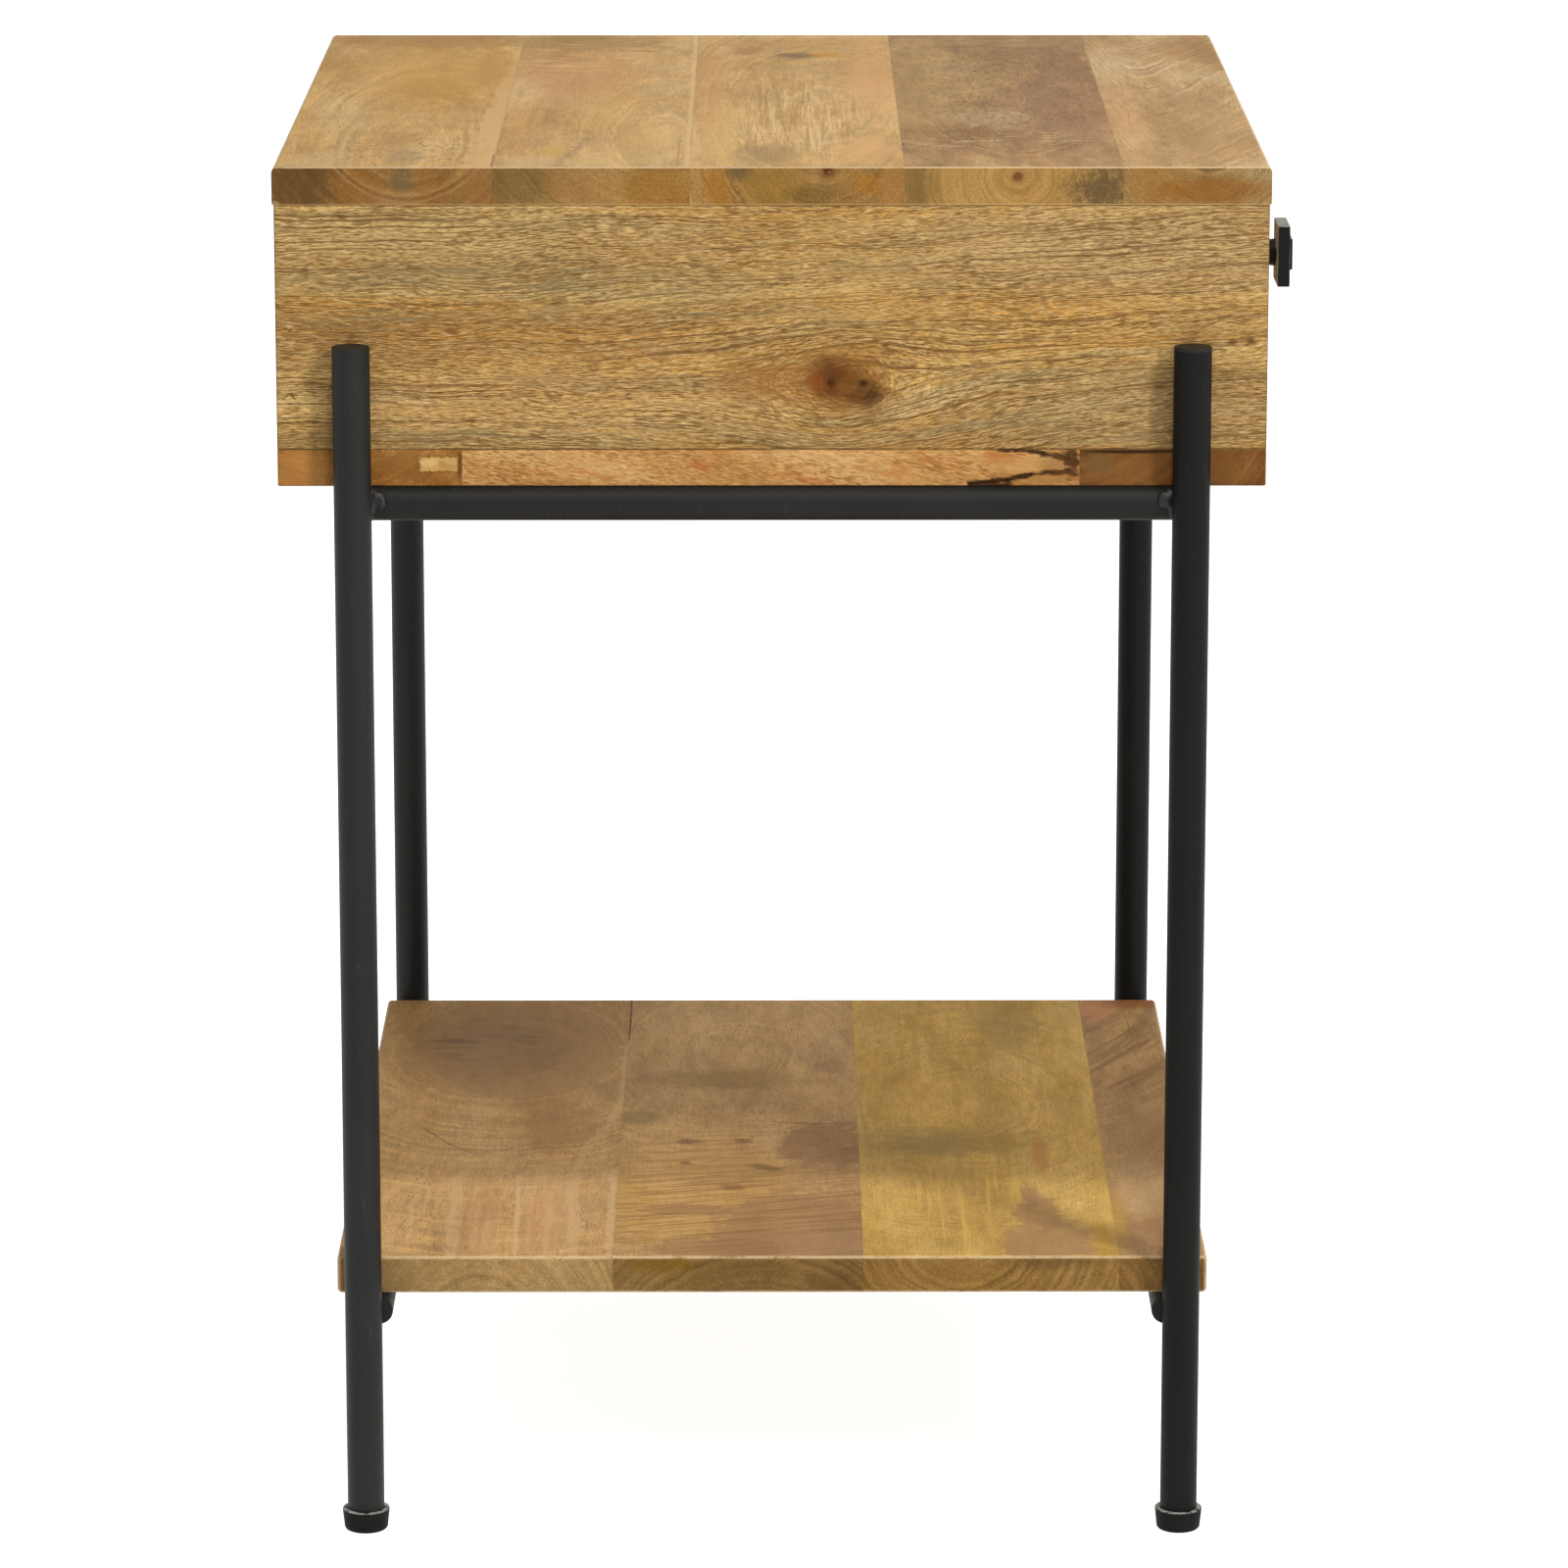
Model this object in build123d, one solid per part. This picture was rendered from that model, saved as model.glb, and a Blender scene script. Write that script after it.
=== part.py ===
from build123d import *
from math import sqrt
import os

os.makedirs("parts", exist_ok=True)

# Side table with one drawer: a hardwood case and shelf on a welded iron stand.
# Millimetres. X runs to the right as seen from the front, the front faces -Y, Z is up.
# The origin is on the floor, under the middle of the whole object's box.

# Overall sizes
case_width = 470.0  # over the side panels
case_depth = 450.0  # over the side panels
overall_height = 642.0  # floor to tabletop

# Top, glued from planks that run from side to side
top_thickness = 17.5
top_overhang = 0.8  # past the case, at the front and at the back
top_edge_radius = 3.0  # along the front and the back
top_lower_radius = 1.0  # along the front and the back, underneath
top_end_radius = 0.7  # round the ends of the planks
top_plank_widths = [89.0, 97.0, 99.0, 67.0]  # second to last; the rear plank takes the rest

# Case
side_height = 112.0
side_thickness = 18.0
back_thickness = 16.0
eased_edge = 0.8  # radius of the sanded edges of the case

# Bottom frame of the case, with a thin panel in a rabbet
bottom_thickness = 17.0
bottom_front_width = 85.0
bottom_rear_width = 84.0
bottom_side_width = 60.0
bottom_panel_thickness = 6.0
rabbet_width = 9.0
panel_play = 0.5

# Dowels of the case
dowel_diameter = 8.0
dowel_in_board = 10.5  # depth in the top and in the bottom frame
dowel_in_panel = 18.0  # depth in the side and back panels
dowel_end_inset = 25.0  # from the ends of a panel to its outer dowels
dowel_play = 0.1

# Drawer
drawer_gap = 2.0  # round the drawer front
drawer_front_thickness = 18.0
drawer_side_thickness = 12.0
drawer_back_thickness = 12.0
drawer_side_gap = 6.0  # from the drawer's sides to the side panels
drawer_floor_gap = 6.0  # under the drawer's sides
drawer_headroom = 20.0  # over the drawer's sides
drawer_bottom_thickness = 5.0
drawer_bottom_lift = 9.0  # from the lower edge of the sides to the drawer bottom
drawer_bottom_groove = 5.0  # depth of the groove for the drawer bottom
drawer_dowel_diameter = 6.0
drawer_dowel_depth = 11.0  # in the drawer front, and in the drawer side

# Runners and stops
runner_height = 14.0
runner_engagement = 4.5  # how far a runner stands into the groove of a drawer side
runner_play = 0.5
runner_end_gap = 4.0
runner_screw_inset = 45.0
stop_width = 34.0
stop_depth = 18.0
stop_height = 26.0
stop_inset = 60.0  # from the side panels to the stops
stop_play = 0.5

# Knob
knob_reach = 27.0  # from the drawer front to the face of the boss
knob_drop = 2.3  # below the middle of the drawer front
knob_plate_size = 29.5
knob_plate_thickness = 6.0
knob_boss_size = 15.0
knob_boss_height = 1.7
knob_stem_diameter = 11.4
knob_collar_diameter = 13.4
knob_collar_length = 9.0
knob_edge_radius = 0.5

# Screws
screw_diameter = 4.0
screw_head_diameter = 8.0
screw_head_height = 2.4
screw_bite = 12.0  # depth in the wood
screw_play = 0.15
drive_length = 4.4  # cross recess
drive_width = 1.0
drive_depth = 1.2

# Legs
leg_diameter = 17.2
leg_wall = 1.5
leg_inset = 34.5  # from the front and back of the case to the leg's axis
leg_rise = 66.0  # from the underside of the case to the top of the leg
leg_gap = 0.3  # between a leg and the side panel
cap_thickness = 1.6
cap_plug_length = 5.0
cap_play = 0.15
cap_edge_radius = 0.6

# Feet, rubber cups
foot_height = 10.2
foot_floor = 3.5
foot_base_diameter = 20.0
foot_rim_diameter = 22.2
foot_base_radius = 1.8
foot_rim_radius = 0.4
foot_play = 0.15

# Rails under the case, with tabs for its screws
rail_diameter = 16.0
rail_inset = 2.0  # from the side of the case to the rail's axis
rail_lap = 3.0  # past the leg's axis
tab_length = 24.0
tab_width = 22.0
tab_thickness = 3.0
tab_setback = 26.0  # from the leg's axis to the middle of the tab
tab_hole_inset = 8.0

# Shelf and the bars that carry it
shelf_top_height = 130.0
shelf_thickness = 18.0
shelf_overhang = 4.0  # past the legs, at the front and at the back
shelf_edge_radius = 2.2
shelf_plank_widths = [117.0, 119.5, 41.0]  # second to last; the rear plank takes the rest
bar_diameter = 13.0
bar_offset = 7.0  # from the leg's axis to the bar's axis, towards the middle
bar_end_gap = 3.0  # from the leg's axis to the end of the bar
bar_seat_depth = 2.0
shelf_screw_inset = 75.0

# Levels
top_under = overall_height - top_thickness
case_floor = top_under - side_height
case_under = case_floor - bottom_thickness
leg_top = case_under + leg_rise
shelf_under = shelf_top_height - shelf_thickness

# Places seen from above
case_middle = (knob_reach - top_overhang) / 2
case_front = case_middle - case_depth / 2
case_back = case_middle + case_depth / 2
half_width = case_width / 2
inner_half = half_width - side_thickness
back_inside = case_back - back_thickness
leg_x = half_width + leg_gap + leg_diameter / 2
leg_y_front = case_front + leg_inset
leg_y_rear = case_back - leg_inset
SIDES = {"left": -1, "right": 1}


def save(name, *solids):
    """Write one named piece, or a group of like pieces."""
    shape = solids[0] if len(solids) == 1 else Compound(list(solids))
    export_step(shape, f"parts/{name}.step")


def block(x_span, y_span, z_span):
    """Box between two values on each axis, given in any order."""
    spans = [sorted(span) for span in (x_span, y_span, z_span)]
    middle = [(low + high) / 2 for low, high in spans]
    size = [high - low for low, high in spans]
    return Pos(*middle) * Box(*size)


def rod(diameter, start, end):
    """Round bar from one point to another."""
    way = Vector(*end) - Vector(*start)
    place = Plane(origin=start, z_dir=way)
    return place * Cylinder(diameter / 2, way.length, align=(Align.CENTER, Align.CENTER, Align.MIN))


def screw_body(seat, way, reach, play=0.0):
    """Head and shank of a screw whose head bears on seat. With play, it is the hole for that screw."""
    seat = Vector(*seat)
    way = Vector(*way)
    shank_end = seat + way * (reach + play)
    head_end = seat - way * screw_head_height
    shank = rod(screw_diameter + 2 * play, tuple(seat), tuple(shank_end))
    head = rod(screw_head_diameter + 2 * play, tuple(head_end), tuple(seat))
    return head + shank


def screw(seat, way, reach):
    """Pan-headed screw with a cross recess."""
    face = Plane(origin=tuple(Vector(*seat) - Vector(*way) * screw_head_height), z_dir=way)
    slot = Box(drive_length, drive_width, 2 * drive_depth)
    cross = slot + Rot(0, 0, 90) * slot
    return screw_body(seat, way, reach) - face * cross


def cut_all(piece, holes):
    """Take a list of holes out of a piece."""
    for hole in holes:
        piece = piece - hole
    return piece


def planks(blank, y_rear, widths, x_half, z_span):
    """Cut a glued board into its planks, from the rear to the front. The first takes what is left."""
    y_low = blank.bounding_box().min.Y
    edges = [y_low]
    for width in reversed(widths):
        edges.insert(0, edges[0] + width)
    edges.insert(0, y_rear)
    return [blank & block((-x_half, x_half), pair, z_span) for pair in zip(edges, edges[1:])]


# Dowels stand on the middle lines of the side and back panels, at the top and at the bottom
side_middle = half_width - side_thickness / 2
back_middle = case_back - back_thickness / 2
dowel_places = []
for side in SIDES.values():
    for y in (case_front + dowel_end_inset, case_middle, back_inside - dowel_end_inset):
        dowel_places.append((side * side_middle, y))
    dowel_places.append((side * (inner_half - dowel_end_inset), back_middle))


def case_dowels(joint_level, board_side, play):
    """Dowels across the joint at one level; board_side is +1 where the board lies above the joint."""
    board_end = joint_level + board_side * (dowel_in_board + play)
    panel_end = joint_level - board_side * (dowel_in_panel + play)
    diameter = dowel_diameter + 2 * play
    return [rod(diameter, (x, y, panel_end), (x, y, board_end)) for x, y in dowel_places]


top_holes = case_dowels(top_under, 1, dowel_play)
bottom_holes = case_dowels(case_floor, -1, dowel_play)
save("top_dowels", *case_dowels(top_under, 1, 0.0))
save("bottom_dowels", *case_dowels(case_floor, -1, 0.0))

# Top: one glued board, rounded along its front and back and eased at its ends, cut along its glue lines
top_front = case_front - top_overhang
top_back = case_back + top_overhang
top_place = Plane(
    origin=(0, (top_front + top_back) / 2, (top_under + overall_height) / 2),
    x_dir=(0, 1, 0),
    z_dir=(1, 0, 0),
)
top_profile = Rectangle(top_back - top_front, top_thickness)
top_profile = fillet([corner for corner in top_profile.vertices() if corner.Y > 0], top_edge_radius)
lower_corners = top_profile.vertices().sort_by(Axis.Y)[:2]
top_profile = fillet(lower_corners, top_lower_radius)
top_blank = extrude(top_place * top_profile, amount=half_width, both=True)
for end_face in (top_blank.faces().sort_by(Axis.X)[0], top_blank.faces().sort_by(Axis.X)[-1]):
    top_blank = fillet(end_face.edges(), top_end_radius)
top_z = (top_under, overall_height)
for number, plank in enumerate(planks(top_blank, top_back, top_plank_widths, half_width, top_z), 1):
    save(f"top_plank_{number}", cut_all(plank, top_holes))

# Runners: wooden strips screwed to the side panels, level with the middle of the drawer's sides
drawer_low = case_floor + drawer_floor_gap
drawer_high = top_under - drawer_headroom
drawer_front_back = case_front + drawer_front_thickness
drawer_rear = back_inside - stop_depth - stop_play
drawer_half = inner_half - drawer_side_gap
runner_middle = (drawer_low + drawer_high) / 2
runner_face = drawer_half - runner_engagement
runner_span = (drawer_front_back + runner_end_gap, back_inside - runner_end_gap)
runner_screw_places = [
    runner_span[0] + runner_screw_inset,
    sum(runner_span) / 2,
    runner_span[1] - runner_screw_inset,
]
runner_screws = []
side_holes = {}
for name, side in SIDES.items():
    seat_x = side * (runner_face + screw_head_height)
    seats = [(seat_x, y, runner_middle) for y in runner_screw_places]
    reach = inner_half - runner_face - screw_head_height + screw_bite
    runner_screws += [screw(seat, (side, 0, 0), reach) for seat in seats]
    side_holes[name] = [screw_body(seat, (side, 0, 0), reach, screw_play) for seat in seats]
    runner_z = (runner_middle - runner_height / 2, runner_middle + runner_height / 2)
    runner = block((side * inner_half, side * runner_face), runner_span, runner_z)
    save(f"drawer_runner_{name}", cut_all(runner, side_holes[name]))
save("runner_screws", *runner_screws)

# Side panels: one board each, grain from front to back
for name, side in SIDES.items():
    panel = block((side * inner_half, side * half_width), (case_front, case_back), (case_floor, top_under))
    outer_face = panel.faces().sort_by(Axis.X)[0 if side < 0 else -1]
    panel = fillet(outer_face.edges(), eased_edge)
    save(f"side_panel_{name}", cut_all(panel, top_holes + bottom_holes + side_holes[name]))

# Back panel, between the side panels, with the stop blocks glued to it
back_panel = block((-inner_half, inner_half), (back_inside, case_back), (case_floor, top_under))
back_panel = fillet(back_panel.faces().sort_by(Axis.Y)[-1].edges(), eased_edge)
save("back_panel", cut_all(back_panel, top_holes + bottom_holes))
stops = []
for side in SIDES.values():
    stop_x = (side * (inner_half - stop_inset), side * (inner_half - stop_inset - stop_width))
    stop_z = (drawer_low, drawer_low + stop_height)
    stops.append(block(stop_x, (back_inside - stop_depth, back_inside), stop_z))
save("drawer_stops", *stops)

# Rails under the case: each laps the inner side of its two legs, and carries two welded tabs
rail_x = half_width - rail_inset
rail_z = case_under - rail_diameter / 2
tab_start = sqrt((rail_diameter / 2) ** 2 - (rail_diameter / 2 - tab_thickness / 2) ** 2)
tab_outer = rail_x - tab_start
tab_inner = tab_outer - tab_length
tab_hole_x = tab_inner + tab_hole_inset
tab_places = (leg_y_front + tab_setback, leg_y_rear - tab_setback)


def leg_rod(side, y):
    """The full round of one leg, for fitting other pieces to it."""
    return rod(leg_diameter, (side * leg_x, y, foot_floor), (side * leg_x, y, leg_top - cap_thickness))


case_screws = []
case_screw_holes = []
tabs = []
for name, side in SIDES.items():
    rail_ends = (leg_y_front - rail_lap, leg_y_rear + rail_lap)
    rail = rod(rail_diameter, *[(side * rail_x, y, rail_z) for y in rail_ends])
    for y in tab_places:
        seat = (side * tab_hole_x, y, case_under - tab_thickness)
        hole = screw_body(seat, (0, 0, 1), tab_thickness + screw_bite, screw_play)
        tab_y = (y - tab_width / 2, y + tab_width / 2)
        tab = block((side * tab_outer, side * tab_inner), tab_y, (case_under - tab_thickness, case_under))
        tabs.append(tab - rail - hole)
        case_screws.append(screw(seat, (0, 0, 1), tab_thickness + screw_bite))
        case_screw_holes.append(hole)
    save(f"case_rail_{name}", rail - leg_rod(side, leg_y_front) - leg_rod(side, leg_y_rear))
save("case_tabs", *tabs)
save("case_screws", *case_screws)

# Bottom frame: one eased outline, cut into two long rails and two side rails between them
bottom_z = (case_under, case_floor)
bottom_blank = block((-half_width, half_width), (case_front, case_back), bottom_z)
bottom_blank = fillet(bottom_blank.edges(), eased_edge)
front_joint = case_front + bottom_front_width
rear_joint = case_back - bottom_rear_width
side_joint = half_width - bottom_side_width
panel_x = side_joint + rabbet_width
panel_y = (front_joint - rabbet_width, rear_joint + rabbet_width)
rabbet_z = (case_floor - bottom_panel_thickness, case_floor)
rabbet = block((-panel_x, panel_x), panel_y, rabbet_z)
bottom_pieces = {
    "front": block((-half_width, half_width), (case_front, front_joint), bottom_z),
    "rear": block((-half_width, half_width), (rear_joint, case_back), bottom_z),
    "left": block((-half_width, -side_joint), (front_joint, rear_joint), bottom_z),
    "right": block((side_joint, half_width), (front_joint, rear_joint), bottom_z),
}
for name, region in bottom_pieces.items():
    rail = (bottom_blank & region) - rabbet
    save(f"bottom_{name}_rail", cut_all(rail, bottom_holes + case_screw_holes))
panel_span_x = (-panel_x + panel_play, panel_x - panel_play)
panel_span_y = (panel_y[0] + panel_play, panel_y[1] - panel_play)
save("bottom_panel", block(panel_span_x, panel_span_y, rabbet_z))

# Drawer: inset front, grooved sides, back between the sides, thin bottom let into all four
drawer_inner = drawer_half - drawer_side_thickness
drawer_back_inside = drawer_rear - drawer_back_thickness
bottom_low = drawer_low + drawer_bottom_lift
bottom_high = bottom_low + drawer_bottom_thickness
groove_x = drawer_inner + drawer_bottom_groove
groove_y = (drawer_front_back - drawer_bottom_groove, drawer_back_inside + drawer_bottom_groove)
bottom_groove = block((-groove_x, groove_x), groove_y, (bottom_low, bottom_high + panel_play))
thin_x = groove_x - panel_play
thin_y = (groove_y[0] + panel_play, groove_y[1] - panel_play)
save("drawer_bottom", block((-thin_x, thin_x), thin_y, (bottom_low, bottom_high)))

runner_groove_half = runner_height / 2 + runner_play
groove_floor = runner_face - runner_play
low_fixing = (bottom_high + runner_middle - runner_groove_half) / 2
high_fixing = (runner_middle + runner_groove_half + drawer_high) / 2
fixing_levels = (low_fixing, high_fixing)
drawer_side_middle = drawer_half - drawer_side_thickness / 2


def drawer_dowels(play):
    """Dowels between the drawer front and the drawer's sides."""
    y_span = (drawer_front_back - drawer_dowel_depth - play, drawer_front_back + drawer_dowel_depth + play)
    made = []
    for side in SIDES.values():
        for z in fixing_levels:
            ends = [(side * drawer_side_middle, y, z) for y in y_span]
            made.append(rod(drawer_dowel_diameter + 2 * play, *ends))
    return made


save("drawer_dowels", *drawer_dowels(0.0))
drawer_dowel_holes = drawer_dowels(dowel_play)

# Screws through the drawer's sides into the end grain of its back
drawer_screws = []
drawer_screw_holes = []
for side in SIDES.values():
    for z in fixing_levels:
        seat = (side * (drawer_half - screw_head_height), drawer_rear - drawer_back_thickness / 2, z)
        reach = drawer_side_thickness - screw_head_height + screw_bite
        drawer_screws.append(screw(seat, (-side, 0, 0), reach))
        drawer_screw_holes.append(screw_body(seat, (-side, 0, 0), reach, screw_play))
save("drawer_screws", *drawer_screws)

for name, side in SIDES.items():
    side_y = (drawer_front_back, drawer_rear)
    board = block((side * drawer_inner, side * drawer_half), side_y, (drawer_low, drawer_high))
    groove_z = (runner_middle - runner_groove_half, runner_middle + runner_groove_half)
    board = board - block((side * groove_floor, side * drawer_half), side_y, groove_z) - bottom_groove
    save(f"drawer_side_{name}", cut_all(board, drawer_dowel_holes + drawer_screw_holes))
back_y = (drawer_back_inside, drawer_rear)
drawer_back = block((-drawer_inner, drawer_inner), back_y, (drawer_low, drawer_high)) - bottom_groove
save("drawer_back", cut_all(drawer_back, drawer_screw_holes))

# Knob: square plate with a raised boss, on a turned stem, held by a screw from inside the drawer
knob_z = (case_floor + top_under) / 2 - knob_drop
plate_back = case_front - knob_reach + knob_boss_height + knob_plate_thickness
plate_front = plate_back - knob_plate_thickness
half_plate = knob_plate_size / 2
half_boss = knob_boss_size / 2
plate = block((-half_plate, half_plate), (plate_front, plate_back), (knob_z - half_plate, knob_z + half_plate))
plate = fillet(plate.edges(), knob_edge_radius)
boss_y = (plate_front, case_front - knob_reach)
boss = block((-half_boss, half_boss), boss_y, (knob_z - half_boss, knob_z + half_boss))
boss = fillet(boss.faces().sort_by(Axis.Y)[0].edges(), knob_edge_radius)
save("knob_plate", plate + boss)

collar_start = plate_back + knob_collar_length
stem_profile = Polyline(
    (0, case_front),
    (knob_stem_diameter / 2, case_front),
    (knob_stem_diameter / 2, collar_start),
    (knob_collar_diameter / 2, plate_back),
    (0, plate_back),
    close=True,
)
stem = Pos(0, 0, knob_z) * revolve(make_face(stem_profile), Axis.Y)
knob_seat = (0, drawer_front_back, knob_z)
knob_screw_reach = drawer_front_thickness + screw_bite
knob_hole = screw_body(knob_seat, (0, -1, 0), knob_screw_reach, screw_play)
save("knob_stem", stem - knob_hole)
save("knob_screw", screw(knob_seat, (0, -1, 0), knob_screw_reach))

front_half = inner_half - drawer_gap
front_z = (case_floor + drawer_gap, top_under - drawer_gap)
drawer_front = block((-front_half, front_half), (case_front, drawer_front_back), front_z)
drawer_front = fillet(drawer_front.faces().sort_by(Axis.Y)[0].edges(), eased_edge)
save("drawer_front", cut_all(drawer_front - bottom_groove - knob_hole, drawer_dowel_holes))

# Legs: tubes, each with a welded cap and a rubber cup on its foot
bore = leg_diameter - 2 * leg_wall
tube_top = leg_top - cap_thickness
base_reach = foot_base_diameter / 2
rim_reach = foot_rim_diameter / 2
cup_reach = leg_diameter / 2 + foot_play
cup_profile = Polyline(
    (0, 0),
    (base_reach, 0),
    (rim_reach, foot_height),
    (cup_reach, foot_height),
    (cup_reach, foot_floor),
    (0, foot_floor),
    close=True,
)
cup_face = make_face(cup_profile)
cup_face = fillet(cup_face.vertices().sort_by_distance((base_reach, 0))[:1], foot_base_radius)
cup_face = fillet(cup_face.vertices().sort_by_distance((rim_reach, foot_height))[:1], foot_rim_radius)
cup = revolve(Plane.XZ * cup_face, Axis.Z)
caps = []
for name, side in SIDES.items():
    for end, y in (("front", leg_y_front), ("rear", leg_y_rear)):
        foot_point = (side * leg_x, y, foot_floor)
        top_point = (side * leg_x, y, tube_top)
        leg = rod(leg_diameter, foot_point, top_point) - rod(bore, foot_point, top_point)
        save(f"leg_{end}_{name}", leg)
        plug_end = (side * leg_x, y, tube_top - cap_plug_length)
        cap = rod(leg_diameter, top_point, (side * leg_x, y, leg_top))
        cap = fillet(cap.faces().sort_by(Axis.Z)[-1].edges(), cap_edge_radius)
        caps.append(cap + rod(bore - 2 * cap_play, plug_end, top_point))
        save(f"foot_{end}_{name}", Pos(side * leg_x, y, 0) * cup)
save("leg_caps", *caps)

# Bars under the shelf: each laps the inner sides of two legs, and is drilled for the shelf's screws
bar_z = shelf_under - bar_diameter / 2
bar_half = leg_x - bar_end_gap
bar_seat_z = shelf_under - bar_diameter + bar_seat_depth
shelf_reach = bar_diameter - bar_seat_depth + screw_bite
shelf_screws = []
shelf_screw_holes = []
for end, leg_y, bar_y in (
    ("front", leg_y_front, leg_y_front + bar_offset),
    ("rear", leg_y_rear, leg_y_rear - bar_offset),
):
    bar = rod(bar_diameter, (-bar_half, bar_y, bar_z), (bar_half, bar_y, bar_z))
    for side in SIDES.values():
        seat = (side * (half_width - shelf_screw_inset), bar_y, bar_seat_z)
        shelf_screws.append(screw(seat, (0, 0, 1), shelf_reach))
        shelf_screw_holes.append(screw_body(seat, (0, 0, 1), shelf_reach, screw_play))
        bar = bar - leg_rod(side, leg_y)
    save(f"shelf_bar_{end}", cut_all(bar, shelf_screw_holes))
save("shelf_screws", *shelf_screws)

# Shelf: one glued board between the levels of its bars and its top, cut along its glue lines
shelf_front = leg_y_front - leg_diameter / 2 - shelf_overhang
shelf_back = leg_y_rear + leg_diameter / 2 + shelf_overhang
shelf_z = (shelf_under, shelf_top_height)
shelf_blank = block((-half_width, half_width), (shelf_front, shelf_back), shelf_z)
shelf_blank = fillet(shelf_blank.edges(), shelf_edge_radius)
for number, plank in enumerate(planks(shelf_blank, shelf_back, shelf_plank_widths, half_width, shelf_z), 1):
    save(f"shelf_plank_{number}", cut_all(plank, shelf_screw_holes))
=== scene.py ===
import math
import random

import bpy
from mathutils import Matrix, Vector


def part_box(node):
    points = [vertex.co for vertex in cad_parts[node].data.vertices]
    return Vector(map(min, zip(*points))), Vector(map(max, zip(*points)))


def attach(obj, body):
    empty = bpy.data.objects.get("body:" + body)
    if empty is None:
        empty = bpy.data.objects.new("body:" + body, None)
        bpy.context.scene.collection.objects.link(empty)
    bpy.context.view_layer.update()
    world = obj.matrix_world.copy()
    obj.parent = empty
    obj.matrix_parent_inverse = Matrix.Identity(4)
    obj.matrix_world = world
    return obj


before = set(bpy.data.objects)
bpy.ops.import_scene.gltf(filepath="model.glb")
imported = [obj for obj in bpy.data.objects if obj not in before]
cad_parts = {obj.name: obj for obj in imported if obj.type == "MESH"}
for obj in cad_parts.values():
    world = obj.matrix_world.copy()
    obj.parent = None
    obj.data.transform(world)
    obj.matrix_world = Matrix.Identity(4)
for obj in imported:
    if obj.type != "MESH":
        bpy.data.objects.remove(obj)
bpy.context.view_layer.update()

# Legs: four round steel tubes, each closed by a cap, under a baked black powder coat.
# They stand outside the case, hold it between them and carry the shelf.


def shade(red, green, blue):
    """A colour as it looks on a screen, 0 to 255, as the linear colour that a socket takes."""
    channels = [value / 255 for value in (red, green, blue)]
    linear = [c / 12.92 if c <= 0.04045 else ((c + 0.055) / 1.055) ** 2.4 for c in channels]
    return (*linear, 1.0)


class Field:
    """A value that varies over a surface: a socket that takes part in sums as a number does."""

    def __init__(self, nodes, socket):
        self.nodes = nodes
        self.socket = socket

    def worked(self, operation, first, second=0.0):
        return self.nodes.node("Math", {"operation": operation}, {0: first, 1: second})

    def __add__(self, other):
        return self.worked("ADD", self, other)

    def __radd__(self, other):
        return self.worked("ADD", other, self)

    def __sub__(self, other):
        return self.worked("SUBTRACT", self, other)

    def __rsub__(self, other):
        return self.worked("SUBTRACT", other, self)

    def __mul__(self, other):
        return self.worked("MULTIPLY", self, other)

    def __truediv__(self, other):
        return self.worked("DIVIDE", self, other)

    def __pow__(self, other):
        return self.worked("POWER", self, other)

    def __abs__(self):
        return self.worked("ABSOLUTE", self)

    def over(self, other):
        """The greater of the two."""
        return self.worked("MAXIMUM", self, other)


class Nodes:
    """The nodes of one material or world. Each is made by one call, which also links its inputs."""

    def __init__(self, tree):
        self.tree = tree

    def node(self, kind, settings, inputs, output=0):
        made = self.tree.nodes.new("ShaderNode" + kind)
        for name, value in settings.items():
            if name == "stops":
                elements = made.color_ramp.elements
                while len(elements) < len(value):
                    elements.new(1.0)
                for element, (position, colour) in zip(elements, value):
                    element.position = position
                    element.color = colour
            else:
                setattr(made, name, value)
        for name, value in inputs.items():
            if isinstance(value, Field):
                self.tree.links.new(value.socket, made.inputs[name])
            else:
                made.inputs[name].default_value = value
        return Field(self, made.outputs[output]) if made.outputs else None

    def split(self, vector):
        parted = self.node("SeparateXYZ", {}, {0: vector})
        return [Field(self, socket) for socket in parted.socket.node.outputs]


mm_per_metre = 1000


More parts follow.
